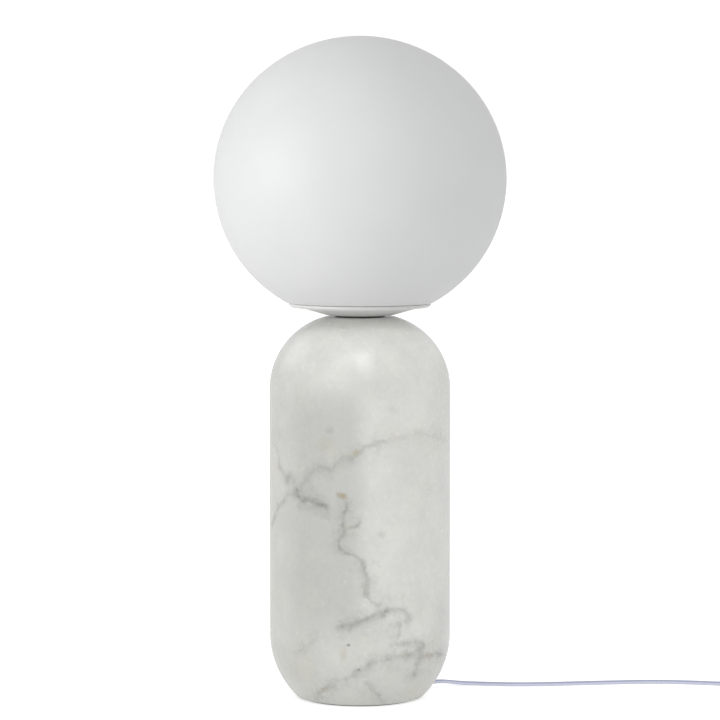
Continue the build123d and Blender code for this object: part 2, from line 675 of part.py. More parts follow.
with BuildPart() as holder_shell:
    with BuildSketch(Plane.XZ):
        with BuildLine():
            shell_top = shell_z + SHELL_HEIGHT
            mouth_radius = HOLDER_RADIUS - HOLDER_WALL
            throat_radius = SOCKET_RADIUS + SOCKET_WALL + HOLDER_GAP
            Polyline(
                (neck_outer_radius + THREAD_CLEARANCE, shell_z),
                (HOLDER_RADIUS, shell_z),
                (HOLDER_RADIUS, shell_top),
                (mouth_radius, shell_top),
                (mouth_radius, shell_top - SHELL_MOUTH_DEPTH),
                (throat_radius, shell_top - SHELL_MOUTH_DEPTH),
                (throat_radius, cap_top + HOLDER_GAP),
                (neck_outer_radius + THREAD_CLEARANCE, cap_top + HOLDER_GAP),
                close=True,
            )
        make_face()
    revolve(axis=Axis.Z)
    fillet(edges().filter_by(GeomType.CIRCLE).group_by(Axis.Z)[-1], SHELL_RIM_ROUND)
holder_shell.part.label = "holder_shell"
export_step(holder_shell.part, "parts/holder_shell.step")

# ---------------------------------------------------------------- bulb

insulator_z = bulb_tip_z + BULB_TIP
bulb_cap_z = insulator_z + BULB_INSULATOR
housing_z = bulb_cap_z + BULB_CAP_HEIGHT
bulb_centre_z = bulb_tip_z + BULB_LENGTH - BULB_RADIUS
seam_z = bulb_tip_z + BULB_LENGTH - BULB_SEAM
seam_radius = sqrt(BULB_RADIUS**2 - (bulb_centre_z - seam_z) ** 2)
seam_angle = -degrees(asin((bulb_centre_z - seam_z) / BULB_RADIUS))
inner_dome_radius = BULB_RADIUS - BULB_WALL
board_radius = seam_radius - HOUSING_WALL - 2 * INSERT_CLEARANCE

with BuildPart() as bulb_tip:
    with BuildSketch(Plane.XY.offset(bulb_tip_z)):
        Circle(BULB_TIP_RADIUS)
    extrude(amount=BULB_TIP)
    fillet(edges().group_by(Axis.Z)[0], BULB_TIP_ROUND)
bulb_tip.part.label = "bulb_tip"
export_step(bulb_tip.part, "parts/bulb_tip.step")

with BuildPart() as bulb_insulator:
    with BuildSketch(Plane.XY.offset(insulator_z)):
        Circle(BULB_TIP_RADIUS + BULB_TIP_ROUND)
    with BuildSketch(Plane.XY.offset(bulb_cap_z)):
        Circle(BULB_CAP_RADIUS - BULB_CAP_SHOULDER)
    loft()
bulb_insulator.part.label = "bulb_insulator"
export_step(bulb_insulator.part, "parts/bulb_insulator.step")

with BuildPart() as bulb_cap:
    with BuildSketch(Plane.XZ):
        with BuildLine():
            outline = [(0, bulb_cap_z), (BULB_CAP_RADIUS - BULB_CAP_SHOULDER, bulb_cap_z)]
            for turn in range(BULB_THREAD_TURNS):
                crest_z = bulb_cap_z + (turn + 0.75) * BULB_THREAD_PITCH
                outline.append((BULB_CAP_RADIUS, crest_z - BULB_THREAD_PITCH / 2))
                outline.append((BULB_THREAD_RADIUS, crest_z))
            outline.append((BULB_CAP_RADIUS, bulb_cap_z + (BULB_THREAD_TURNS + 0.25) * BULB_THREAD_PITCH))
            outline.append((BULB_CAP_RADIUS, housing_z))
            outline.append((BULB_CAP_RADIUS - BULB_CAP_WALL, housing_z))
            outline.append((BULB_CAP_RADIUS - BULB_CAP_WALL, bulb_cap_z + BULB_CAP_FLOOR))
            outline.append((0, bulb_cap_z + BULB_CAP_FLOOR))
            Polyline(*outline, close=True)
        make_face()
    revolve(axis=Axis.Z)
bulb_cap.part.label = "bulb_cap"
export_step(bulb_cap.part, "parts/bulb_cap.step")

with BuildPart() as bulb_housing:
    with BuildSketch(Plane.XZ):
        with BuildLine():
            collar_top = housing_z + HOUSING_COLLAR
            board_under = seam_z - LED_BOARD_THICKNESS
            flank = TangentArc(
                (seam_radius, seam_z),
                (HOUSING_NECK_RADIUS, collar_top),
                tangent=(sin(radians(seam_angle)), -cos(radians(seam_angle))),
            )
            Polyline(
                flank @ 1,
                (HOUSING_NECK_RADIUS, housing_z),
                (HOUSING_NECK_RADIUS - HOUSING_WALL, housing_z),
                (HOUSING_NECK_RADIUS - HOUSING_WALL, collar_top),
                (board_radius - HOUSING_LEDGE_REACH, board_under - HOUSING_LEDGE),
                (board_radius - HOUSING_LEDGE_REACH, board_under),
                (board_radius + INSERT_CLEARANCE, board_under),
                (board_radius + INSERT_CLEARANCE, seam_z),
                flank @ 0,
            )
        make_face()
    revolve(axis=Axis.Z)
bulb_housing.part.label = "bulb_housing"
export_step(bulb_housing.part, "parts/bulb_housing.step")

with BuildPart() as led_board:
    with BuildSketch(Plane.XY.offset(seam_z - LED_BOARD_THICKNESS)):
        Circle(board_radius)
    extrude(amount=LED_BOARD_THICKNESS)
    with BuildSketch(Plane.XY.offset(seam_z)):
        with PolarLocations(board_radius * LED_RING_SHARE, LED_COUNT):
            Rectangle(LED_SIZE, LED_SIZE)
    extrude(amount=LED_HEIGHT)
led_board.part.label = "led_board"
export_step(led_board.part, "parts/led_board.step")

with BuildPart() as driver_board:
    driver_top = seam_z - LED_BOARD_THICKNESS
    with BuildSketch(Plane.XY.offset(driver_top - DRIVER_HEIGHT)):
        Rectangle(DRIVER_WIDTH, DRIVER_THICKNESS)
    extrude(amount=DRIVER_HEIGHT)
    with BuildSketch(Plane.XZ.offset(DRIVER_THICKNESS / 2)):
        with Locations((0, driver_top - CAPACITOR_DROP)):
            Circle(CAPACITOR_RADIUS)
        with Locations((CHOKE_OFFSET, driver_top - CHOKE_DROP)):
            Rectangle(CHOKE_LENGTH, CHOKE_WIDTH)
    extrude(amount=COMPONENT_HEIGHT)
driver_board.part.label = "driver_board"
export_step(driver_board.part, "parts/driver_board.step")

with BuildPart() as bulb_dome:
    with BuildSketch(Plane.XZ):
        with BuildLine():
            inner_seam_angle = -degrees(asin((bulb_centre_z - seam_z) / inner_dome_radius))
            outside = CenterArc((0, bulb_centre_z), BULB_RADIUS, seam_angle, 90 - seam_angle)
            inside = CenterArc((0, bulb_centre_z), inner_dome_radius, inner_seam_angle, 90 - inner_seam_angle)
            Line(outside @ 0, inside @ 0)
            Line(outside @ 1, inside @ 1)
        make_face()
    revolve(axis=Axis.Z)
bulb_dome.part.label = "bulb_dome"
export_step(bulb_dome.part, "parts/bulb_dome.step")

# ---------------------------------------------------------------- the way out of the base

collar_height = EXIT_HEIGHT + RELIEF_COLLAR_HEIGHT / 2 - RELIEF_HEIGHT / 2
wall_reach = sqrt(STONE_FOOT_ROUND**2 - (foot_round_z - EXIT_HEIGHT) ** 2) + STONE_RADIUS - STONE_FOOT_ROUND
collar_reach = RECESS_RADIUS - RELIEF_COLLAR - RELIEF_COLLAR_GAP

with BuildPart() as cord_relief:
    with BuildSketch(exit_plane(collar_reach, collar_height)):
        SlotOverall(RELIEF_COLLAR_WIDTH, RELIEF_COLLAR_HEIGHT)
    extrude(amount=RELIEF_COLLAR)
    with BuildSketch(exit_plane(collar_reach)):
        SlotOverall(RELIEF_WIDTH, RELIEF_HEIGHT)
    extrude(amount=wall_reach - collar_reach)
    with BuildSketch(exit_plane(wall_reach)):
        SlotOverall(RELIEF_WIDTH, RELIEF_HEIGHT)
    with BuildSketch(exit_plane(EXIT_REACH)):
        SlotOverall(RELIEF_TIP_WIDTH, RELIEF_TIP_HEIGHT)
    loft()
    with BuildSketch(exit_plane(collar_reach)):
        SlotOverall(CORD_WIDTH + 2 * CORD_CLEARANCE, CORD_THICKNESS + 2 * CORD_CLEARANCE)
    extrude(amount=EXIT_REACH, mode=Mode.SUBTRACT)
cord_relief.part.label = "cord_relief"
export_step(cord_relief.part, "parts/cord_relief.step")

clamp_out = exit_plane(CLAMP_PLACE - CLAMP_LENGTH / 2)
clamp_base = Plane(origin=exit_out * CLAMP_PLACE, x_dir=exit_out, z_dir=(0, 0, 1))
clamp_foot = PAD_THICKNESS + CLAMP_LIFT
clamp_head = EXIT_HEIGHT + CLAMP_HALF

with BuildPart() as clamp_lower:
    with BuildSketch(clamp_base.offset(clamp_foot)):
        RectangleRounded(CLAMP_LENGTH, CLAMP_WIDTH, CLAMP_CORNER)
        with GridLocations(0, CLAMP_SCREW_SPACING, 1, 2):
            Circle(CLAMP_SCREW_RADIUS + THREAD_CLEARANCE, mode=Mode.SUBTRACT)
    extrude(amount=EXIT_HEIGHT - clamp_foot)
    with BuildSketch(clamp_out):
        SlotOverall(CORD_WIDTH + 2 * CORD_CLEARANCE, CORD_THICKNESS + 2 * THREAD_CLEARANCE)
    extrude(amount=CLAMP_LENGTH, mode=Mode.SUBTRACT)
clamp_lower.part.label = "clamp_lower"
export_step(clamp_lower.part, "parts/clamp_lower.step")

with BuildPart() as clamp_upper:
    with BuildSketch(clamp_base.offset(EXIT_HEIGHT)):
        RectangleRounded(CLAMP_LENGTH, CLAMP_WIDTH, CLAMP_CORNER)
        with GridLocations(0, CLAMP_SCREW_SPACING, 1, 2):
            Circle(CLAMP_SCREW_RADIUS + THREAD_CLEARANCE, mode=Mode.SUBTRACT)
    extrude(amount=CLAMP_HALF)
    with BuildSketch(clamp_out):
        SlotOverall(CORD_WIDTH + 2 * CORD_CLEARANCE, CORD_THICKNESS + 2 * THREAD_CLEARANCE)
    extrude(amount=CLAMP_LENGTH, mode=Mode.SUBTRACT)
clamp_upper.part.label = "clamp_upper"
export_step(clamp_upper.part, "parts/clamp_upper.step")

with BuildPart() as clamp_screws:
    with BuildSketch(clamp_base.offset(clamp_foot)):
        with GridLocations(0, CLAMP_SCREW_SPACING, 1, 2):
            Circle(CLAMP_SCREW_RADIUS)
    extrude(amount=clamp_head - clamp_foot)
    with BuildSketch(clamp_base.offset(clamp_head)):
        with GridLocations(0, CLAMP_SCREW_SPACING, 1, 2):
            Circle(CLAMP_HEAD_RADIUS)
    extrude(amount=CLAMP_HEAD)
    with BuildSketch(clamp_base.offset(clamp_head + CLAMP_HEAD - CROSS_DEPTH)):
        with GridLocations(0, CLAMP_SCREW_SPACING, 1, 2):
            Rectangle(CROSS_LENGTH, CROSS_WIDTH)
            Rectangle(CROSS_WIDTH, CROSS_LENGTH)
    extrude(amount=CROSS_DEPTH, mode=Mode.SUBTRACT)
clamp_screws.part.label = "clamp_screws"
export_step(clamp_screws.part, "parts/clamp_screws.step")

# ---------------------------------------------------------------- cord

cord_area = (CORD_WIDTH - CORD_THICKNESS) * CORD_THICKNESS + pi * CORD_THICKNESS**2 / 4
UP = Vector(0, 0, 1)


def across(path, side):
    """Plane across the start of a path, with its X along the cord's width."""
    return Plane(origin=path @ 0, x_dir=side, z_dir=path % 0)


def guide_above(path):
    """The same path a little higher, which keeps a flat cord level on its way."""
    return path.wires()[0].moved(Location((0, 0, 2 * CORD_WIDTH)))


def corner_radii(points):
    """Arc radius at each inner point: 0.45 of its shorter run over the tangent of half the turn."""
    radii = []
    for before, corner, after in zip(points, points[1:], points[2:]):
        arriving = Vector(*corner) - Vector(*before)
        leaving = Vector(*after) - Vector(*corner)
        half_turn = radians(arriving.get_angle(leaving)) / 2
        radii.append(0.45 * min(arriving.length, leaving.length) / tan(half_turn))
    return radii


def report_tube(name, tube, length):
    """Print a tube's length, and its volume over its section times that length."""
    print(f"{name}: length {length:.1f}, volume ratio {tube.volume / (cord_area * length):.4f}")


# Inside the lamp: down the rod, round under it and out through the strain relief.
inner_top = rod_top
with BuildPart() as cord_in_base:
    with BuildLine() as inner_path:
        FilletPolyline(
            (0, 0, inner_top),
            (0, 0, EXIT_HEIGHT),
            exit_out * EXIT_REACH + Vector(0, 0, EXIT_HEIGHT),
            radius=INNER_BEND,
        )
    with BuildSketch(across(inner_path.wires()[0], exit_side)):
        SlotOverall(CORD_WIDTH, CORD_THICKNESS)
    sweep(path=inner_path.wires()[0])
cord_in_base.part.label = "cord_in_base"
export_step(cord_in_base.part, "parts/cord_in_base.step")
report_tube("cord_in_base", cord_in_base.part, inner_path.wires()[0].length)

with BuildPart() as holder_wires:
    for hand in (1, -1):
        start = exit_side * (hand * CORE_SPACING / 2) + Vector(0, 0, inner_top)
        rise = insert_z - TERMINAL_HEAD + TERMINAL_SLOT_DEPTH - inner_top
        terminal_edge = TERMINAL_PLACE - TERMINAL_HEAD_RADIUS - PIN_FIT
        with BuildLine() as wire_path:
            FilletPolyline(
                start,
                start + Vector(0, 0, rise),
                Vector(-hand * terminal_edge, start.Y, start.Z + rise),
                radius=HOLDER_WIRE_BEND,
            )
        with BuildSketch(Plane(origin=start, z_dir=(0, 0, 1))):
            Circle(CORE_RADIUS)
        sweep(path=wire_path.wires()[0])
holder_wires.part.label = "holder_wires"
export_step(holder_wires.part, "parts/holder_wires.step")

# On the table: out of the base in a low curve, along behind the lamp's right side, and away.
flat_z = CORD_THICKNESS / 2 + FLOOR_GAP
switch_start_x = SWITCH_X - SWITCH_LENGTH / 2 + SWITCH_WALL
switch_end_x = SWITCH_X + SWITCH_LENGTH / 2 - SWITCH_WALL
lead_points = [
    (49.61, 31.0, 4.1),
    (56.4, 35.24, 4.1),
    (63.1, 38.7, 2.9),
    (72.0, 41.2, 1.7),
    (81.0, 41.8, flat_z),
    (92.0, 39.9, flat_z),
    (106.0, 38.1, flat_z),
    (122.0, 38.3, flat_z),
    (140.0, 40.4, flat_z),
    (160.0, 43.4, flat_z),
    (181.0, 46.4, flat_z),
    (202.0, 48.5, flat_z),
    (222.0, 47.6, flat_z),
    (240.0, 44.3, flat_z),
    (254.0, 40.4, flat_z),
    (264.0, 38.0, 2.4),
    (272.5, 37.0, 4.9),
    (280.5, 37.0, 6.0),
    (switch_start_x, 37.0, 6.0),
]

with BuildPart() as cord_lead:
    with BuildLine() as lead_path:
        FilletPolyline(*lead_points, radius=corner_radii(lead_points))
    with BuildSketch(across(lead_path.wires()[0], exit_side)):
        SlotOverall(CORD_WIDTH, CORD_THICKNESS)
    sweep(path=lead_path.wires()[0], binormal=guide_above(lead_path))
cord_lead.part.label = "cord_lead"
export_step(cord_lead.part, "parts/cord_lead.step")
print("cord_lead radii:", *[f"{radius:.0f}" for radius in corner_radii(lead_points)])
report_tube("cord_lead", cord_lead.part, lead_path.wires()[0].length)

coil_start = Vector(COIL_X + COIL_RADIUS, COIL_Y - CORD_WIDTH, flat_z)
coil_end = Vector(COIL_X + COIL_RADIUS, COIL_Y + CORD_WIDTH, flat_z + COIL_LAYER)
link_points = [
    (switch_end_x, 37.0, 6.0),
    (350.0, 37.0, 6.0),
    (358.0, 38.0, 4.6),
    (365.6, 41.0, 2.6),
    (372.2, 46.0, 1.6),
    (377.2, 52.8, flat_z),
    (380.7, 61.0, flat_z),
    (382.2, 72.0, flat_z),
    (coil_start.X, coil_start.Y, coil_start.Z),
]

with BuildPart() as cord_link:
    with BuildLine() as link_path:
        FilletPolyline(*link_points, radius=corner_radii(link_points))
    with BuildSketch(across(link_path.wires()[0], (0, 1, 0))):
        SlotOverall(CORD_WIDTH, CORD_THICKNESS)
    sweep(path=link_path.wires()[0], binormal=guide_above(link_path))
cord_link.part.label = "cord_link"
export_step(cord_link.part, "parts/cord_link.step")
print("cord_link radii:", *[f"{radius:.0f}" for radius in corner_radii(link_points)])
report_tube("cord_link", cord_link.part, link_path.wires()[0].length)

# Coil: spirals in on the table, climbs a layer in the half turn where it reverses, spirals out.
inner_turn_radius = COIL_RADIUS - COIL_TURNS * COIL_PITCH
upper_z = flat_z + COIL_LAYER
with BuildPart() as cord_coil:
    with BuildLine() as coil_path:
        Line(coil_start, (coil_start.X, COIL_Y, flat_z))
        for turn in range(COIL_TURNS):
            radius = COIL_RADIUS - turn * COIL_PITCH
            CenterArc((COIL_X, COIL_Y, flat_z), radius, 0, 180)
            CenterArc((COIL_X - COIL_PITCH / 2, COIL_Y, flat_z), radius - COIL_PITCH / 2, 180, 180)
        half_chord = Vector(inner_turn_radius, 0, -COIL_LAYER / 2)
        climb_plane = Plane(
            origin=(COIL_X, COIL_Y, flat_z + COIL_LAYER / 2),
            x_dir=half_chord,
            z_dir=half_chord.cross(Vector(0, 1, 0)),
        )
        add(Edge.make_circle(half_chord.length, climb_plane, 0, 180))
        for turn in range(COIL_TURNS):
            radius = inner_turn_radius + turn * COIL_PITCH
            CenterArc((COIL_X + COIL_PITCH / 2, COIL_Y, upper_z), radius + COIL_PITCH / 2, 180, 180)
            if turn < COIL_TURNS - 1:
                CenterArc((COIL_X, COIL_Y, upper_z), radius + COIL_PITCH, 0, 180)
        Line((coil_end.X, COIL_Y, upper_z), coil_end)
    with BuildSketch(across(coil_path.wires()[0], (1, 0, 0))):
        SlotOverall(CORD_WIDTH, CORD_THICKNESS)
    sweep(path=coil_path.wires()[0], binormal=guide_above(coil_path))
cord_coil.part.label = "cord_coil"
export_step(cord_coil.part, "parts/cord_coil.step")
report_tube("cord_coil", cord_coil.part, coil_path.wires()[0].length)

plug_z = PLUG_HEIGHT / 2 + PLUG_FLOOR_GAP
tail_points = [
    (coil_end.X, coil_end.Y, coil_end.Z),
    (382.2, 107.0, 4.15),
    (382.6, 117.0, 2.3),
    (381.7, 124.5, 1.4),
    (379.3, 132.0, 1.6),
    (375.2, 139.9, 3.4),
    (369.1, 146.2, 5.2),
    (361.4, 150.6, 6.5),
    (352.0, PLUG_Y, plug_z),
    (PLUG_X, PLUG_Y, plug_z),
]

with BuildPart() as cord_tail:
    with BuildLine() as tail_path:
        FilletPolyline(*tail_points, radius=corner_radii(tail_points))
    with BuildSketch(across(tail_path.wires()[0], (1, 0, 0))):
        SlotOverall(CORD_WIDTH, CORD_THICKNESS)
    sweep(path=tail_path.wires()[0], binormal=guide_above(tail_path))
cord_tail.part.label = "cord_tail"
export_step(cord_tail.part, "parts/cord_tail.step")
print("cord_tail radii:", *[f"{radius:.0f}" for radius in corner_radii(tail_points)])
report_tube("cord_tail", cord_tail.part, tail_path.wires()[0].length)

free_length = SWITCH_LENGTH - 2 * SWITCH_WALL
for path in (lead_path, link_path, coil_path, tail_path):
    free_length += path.wires()[0].length
print(f"free cord from the strain relief to the plug: {free_length:.1f} of {CORD_LENGTH:.0f}")


def lobes(wire, step):
    """Centres of the cord's two cores at even steps along a wire, each with its place on it."""
    count = int(wire.length / step)
    places = []
    for index in range(count + 1):
        place = wire.position_at(index / count)
        side = UP.cross(wire.tangent_at(index / count)).normalized()
        reach = (CORD_WIDTH - CORD_THICKNESS) / 2
        places.append((index * step, place + side * reach))
        places.append((index * step, place - side * reach))
    return places


def least_gap(wire, step):
    """Least clear distance between stretches of a coiled cord, measured on points."""
    places = lobes(wire, step)
    least = CORD_WIDTH
    for index, (along, place) in enumerate(places):
        for other_along, other in places[index + 1 :]:
            if other_along - along > 3 * CORD_WIDTH and abs(other.X - place.X) < CORD_WIDTH:
                least = min(least, (other - place).length - CORD_THICKNESS)
    return least


print(f"cord_coil least gap to itself: {least_gap(coil_path.wires()[0], 3.0):.2f}")

# ---------------------------------------------------------------- in-line switch

switch_body = Plane(origin=(SWITCH_X, SWITCH_Y, 0), x_dir=(1, 0, 0), z_dir=(0, 0, 1))
switch_side = Plane(origin=(SWITCH_X, SWITCH_Y, 0), x_dir=(1, 0, 0), z_dir=(0, -1, 0))
switch_inner_length = SWITCH_LENGTH - 2 * SWITCH_WALL
switch_inner_width = SWITCH_WIDTH - 2 * SWITCH_WALL
switch_inner_corner = SWITCH_CORNER - SWITCH_WALL
rocker_slot_length = ROCKER_LENGTH + 2 * ROCKER_GAP
rocker_slot_width = ROCKER_WIDTH + 2 * ROCKER_GAP
cord_hole_start = Plane(
    origin=(SWITCH_X - SWITCH_LENGTH / 2, SWITCH_Y, SWITCH_SPLIT), x_dir=(0, 1, 0), z_dir=(1, 0, 0)
)
screw_spots = ((-SWITCH_SCREW_X, SWITCH_SCREW_Y), (SWITCH_SCREW_X, -SWITCH_SCREW_Y))

with BuildPart() as switch_lower:
    with BuildSketch(switch_body):
        RectangleRounded(SWITCH_LENGTH, SWITCH_WIDTH, SWITCH_CORNER)
    extrude(amount=SWITCH_SPLIT)
    fillet(faces().sort_by(Axis.Z)[0].edges(), SWITCH_FOOT_ROUND)
    with BuildSketch(switch_body.offset(SWITCH_WALL)):
        RectangleRounded(switch_inner_length, switch_inner_width, switch_inner_corner)
    extrude(amount=SWITCH_SPLIT, mode=Mode.SUBTRACT)
    with BuildSketch(switch_body.offset(SWITCH_WALL)):
        with Locations(*screw_spots):
            Circle(SWITCH_BOSS_RADIUS)
    extrude(amount=SWITCH_SPLIT - SWITCH_WALL)
    with BuildSketch(switch_body):
        with Locations(*screw_spots):
            Circle(SWITCH_SCREW_RADIUS + THREAD_CLEARANCE)
    extrude(amount=SWITCH_SPLIT, mode=Mode.SUBTRACT)
    with BuildSketch(switch_body):
        with Locations(*screw_spots):
            Circle(SWITCH_HEAD_RADIUS + CORD_CLEARANCE)
    extrude(amount=SWITCH_HEAD + SWITCH_HEAD_SETBACK, mode=Mode.SUBTRACT)
    with BuildSketch(cord_hole_start):
        SlotOverall(CORD_WIDTH + 2 * CORD_CLEARANCE, CORD_THICKNESS + 2 * CORD_CLEARANCE)
    extrude(amount=SWITCH_LENGTH, mode=Mode.SUBTRACT)
switch_lower.part.label = "switch_lower"
export_step(switch_lower.part, "parts/switch_lower.step")

with BuildPart() as switch_upper:
    with BuildSketch(switch_body.offset(SWITCH_SPLIT)):
        RectangleRounded(SWITCH_LENGTH, SWITCH_WIDTH, SWITCH_CORNER)
    extrude(amount=SWITCH_HEIGHT - SWITCH_SPLIT)
    fillet(faces().sort_by(Axis.Z)[-1].edges(), SWITCH_CROWN_ROUND)
    with BuildSketch(switch_body.offset(SWITCH_SPLIT)):
        RectangleRounded(switch_inner_length, switch_inner_width, switch_inner_corner)
    extrude(amount=SWITCH_HEIGHT - SWITCH_SPLIT - SWITCH_WALL, mode=Mode.SUBTRACT)
    with BuildSketch(switch_body.offset(SWITCH_SPLIT)):
        with Locations(*screw_spots):
            Circle(SWITCH_BOSS_RADIUS)
            Circle(SWITCH_SCREW_RADIUS + THREAD_CLEARANCE, mode=Mode.SUBTRACT)
    extrude(amount=SWITCH_HEIGHT - SWITCH_SPLIT - SWITCH_WALL)
    with BuildSketch(switch_side):
        with Locations((0, ROCKER_PIVOT)):
            Rectangle(LUG_WIDTH, 2 * (SWITCH_HEIGHT - SWITCH_WALL - ROCKER_PIVOT))
    extrude(amount=rocker_slot_width / 2 + LUG_THICKNESS, both=True)
    with BuildSketch(switch_body.offset(SWITCH_SPLIT)):
        Rectangle(rocker_slot_length, rocker_slot_width)
    extrude(amount=SWITCH_HEIGHT, mode=Mode.SUBTRACT)
    with BuildSketch(switch_side):
        with Locations((0, ROCKER_PIVOT)):
            Circle(PIVOT_RADIUS + PIVOT_CLEARANCE)
    extrude(amount=rocker_slot_width / 2 + LUG_THICKNESS, both=True, mode=Mode.SUBTRACT)
    with BuildSketch(cord_hole_start):
        SlotOverall(CORD_WIDTH + 2 * CORD_CLEARANCE, CORD_THICKNESS + 2 * CORD_CLEARANCE)
    extrude(amount=SWITCH_LENGTH, mode=Mode.SUBTRACT)
switch_upper.part.label = "switch_upper"
export_step(switch_upper.part, "parts/switch_upper.step")

# The rocker is a shallow V, pressed down at its right end.
rocker_frame = Plane(
    origin=(SWITCH_X, SWITCH_Y, ROCKER_PIVOT),
    x_dir=(cos(radians(ROCKER_TILT)), 0, -sin(radians(ROCKER_TILT))),
    z_dir=(0, -1, 0),
)
with BuildPart() as switch_rocker:
    with BuildSketch(rocker_frame):
        with BuildLine():
            Polyline(
                (-ROCKER_LENGTH / 2, ROCKER_END_RISE),
                (0, ROCKER_WAIST_RISE),
                (ROCKER_LENGTH / 2, ROCKER_END_RISE),
                (ROCKER_LENGTH / 2 - ROCKER_END_DROP, -ROCKER_END_DROP),
                (ROCKER_KEEL / 2, -ROCKER_KEEL_DROP),
                (-ROCKER_KEEL / 2, -ROCKER_KEEL_DROP),
                (-ROCKER_LENGTH / 2 + ROCKER_END_DROP, -ROCKER_END_DROP),
                close=True,
            )
        make_face()
        Circle(PIVOT_RADIUS + PIVOT_CLEARANCE, mode=Mode.SUBTRACT)
    extrude(amount=ROCKER_WIDTH / 2, both=True)
switch_rocker.part.label = "switch_rocker"
export_step(switch_rocker.part, "parts/switch_rocker.step")

with BuildPart() as rocker_pin:
    with BuildSketch(switch_side):
        with Locations((0, ROCKER_PIVOT)):
            Circle(PIVOT_RADIUS)
    extrude(amount=rocker_slot_width / 2 + LUG_THICKNESS, both=True)
rocker_pin.part.label = "rocker_pin"
export_step(rocker_pin.part, "parts/rocker_pin.step")

with BuildPart() as switch_screws:
    with BuildSketch(switch_body.offset(SWITCH_HEAD_SETBACK)):
        with Locations(*screw_spots):
            Circle(SWITCH_HEAD_RADIUS)
            Rectangle(CROSS_LENGTH, CROSS_WIDTH, mode=Mode.SUBTRACT)
            Rectangle(CROSS_WIDTH, CROSS_LENGTH, mode=Mode.SUBTRACT)
    extrude(amount=CROSS_DEPTH)
    with BuildSketch(switch_body.offset(SWITCH_HEAD_SETBACK + CROSS_DEPTH)):
        with Locations(*screw_spots):
            Circle(SWITCH_HEAD_RADIUS)
    extrude(amount=SWITCH_HEAD - CROSS_DEPTH)
    with BuildSketch(switch_body.offset(SWITCH_HEAD_SETBACK + SWITCH_HEAD)):
        with Locations(*screw_spots):
            Circle(SWITCH_SCREW_RADIUS)
    extrude(amount=SWITCH_HEIGHT - 2 * SWITCH_WALL - SWITCH_HEAD_SETBACK - SWITCH_HEAD)
switch_screws.part.label = "switch_screws"
export_step(switch_screws.part, "parts/switch_screws.step")

# Live core cut between two brass terminals, neutral core passing straight through.
terminal_spots = ((-TERMINAL_BLOCK_X, TERMINAL_BLOCK_Y), (TERMINAL_BLOCK_X, TERMINAL_BLOCK_Y))
with BuildPart() as switch_contacts:
    with BuildSketch(switch_body.offset(SWITCH_WALL)):
        with Locations(*terminal_spots):
            Rectangle(TERMINAL_BLOCK_LENGTH, TERMINAL_BLOCK_WIDTH)
    extrude(amount=TERMINAL_BLOCK_HEIGHT)
    with BuildSketch(switch_body.offset(SWITCH_WALL + BLADE_RISE)):
        with Locations((-BLADE_X, BLADE_Y), (BLADE_X, BLADE_Y)):
            Rectangle(BLADE_LENGTH, BLADE_WIDTH)
    extrude(amount=BLADE_THICKNESS)
switch_contacts.part.label = "switch_contacts"
export_step(switch_contacts.part, "parts/switch_contacts.step")

with BuildPart() as switch_wires:
    core_y = CORE_SPACING / 2
    inner_start = -SWITCH_LENGTH / 2 + SWITCH_WALL
    terminal_face = -TERMINAL_BLOCK_X - TERMINAL_BLOCK_LENGTH / 2
    neutral = Plane(
        origin=(SWITCH_X + inner_start, SWITCH_Y - core_y, SWITCH_SPLIT), x_dir=(0, 1, 0), z_dir=(1, 0, 0)
    )
    with BuildSketch(neutral):
        Circle(CORE_RADIUS)
    extrude(amount=switch_inner_length)
    for hand in (1, -1):
        with BuildLine() as live_path:
            FilletPolyline(
                (SWITCH_X + hand * inner_start, SWITCH_Y + core_y, SWITCH_SPLIT),
                (SWITCH_X + hand * (inner_start + CORE_TURN_START), SWITCH_Y + core_y, SWITCH_SPLIT),
                (SWITCH_X + hand * (inner_start + CORE_TURN_END), SWITCH_Y + CORE_TURN_Y, SWITCH_SPLIT),
                (SWITCH_X + hand * terminal_face, SWITCH_Y + CORE_TURN_Y, SWITCH_SPLIT),
                radius=SWITCH_WIRE_BEND,
            )
        with BuildSketch(Plane(origin=live_path.wires()[0] @ 0, z_dir=live_path.wires()[0] % 0)):
            Circle(CORE_RADIUS)
        sweep(path=live_path.wires()[0])
switch_wires.part.label = "switch_wires"
export_step(switch_wires.part, "parts/switch_wires.step")

# ---------------------------------------------------------------- plug

plug_entry = Plane(origin=(PLUG_X, PLUG_Y, plug_z), x_dir=(0, 1, 0), z_dir=(-1, 0, 0))
body_x = PLUG_X - PLUG_RELIEF
face_x = body_x - PLUG_LENGTH
pin_plane = Plane(origin=(face_x, PLUG_Y, plug_z), x_dir=(0, 1, 0), z_dir=(-1, 0, 0))

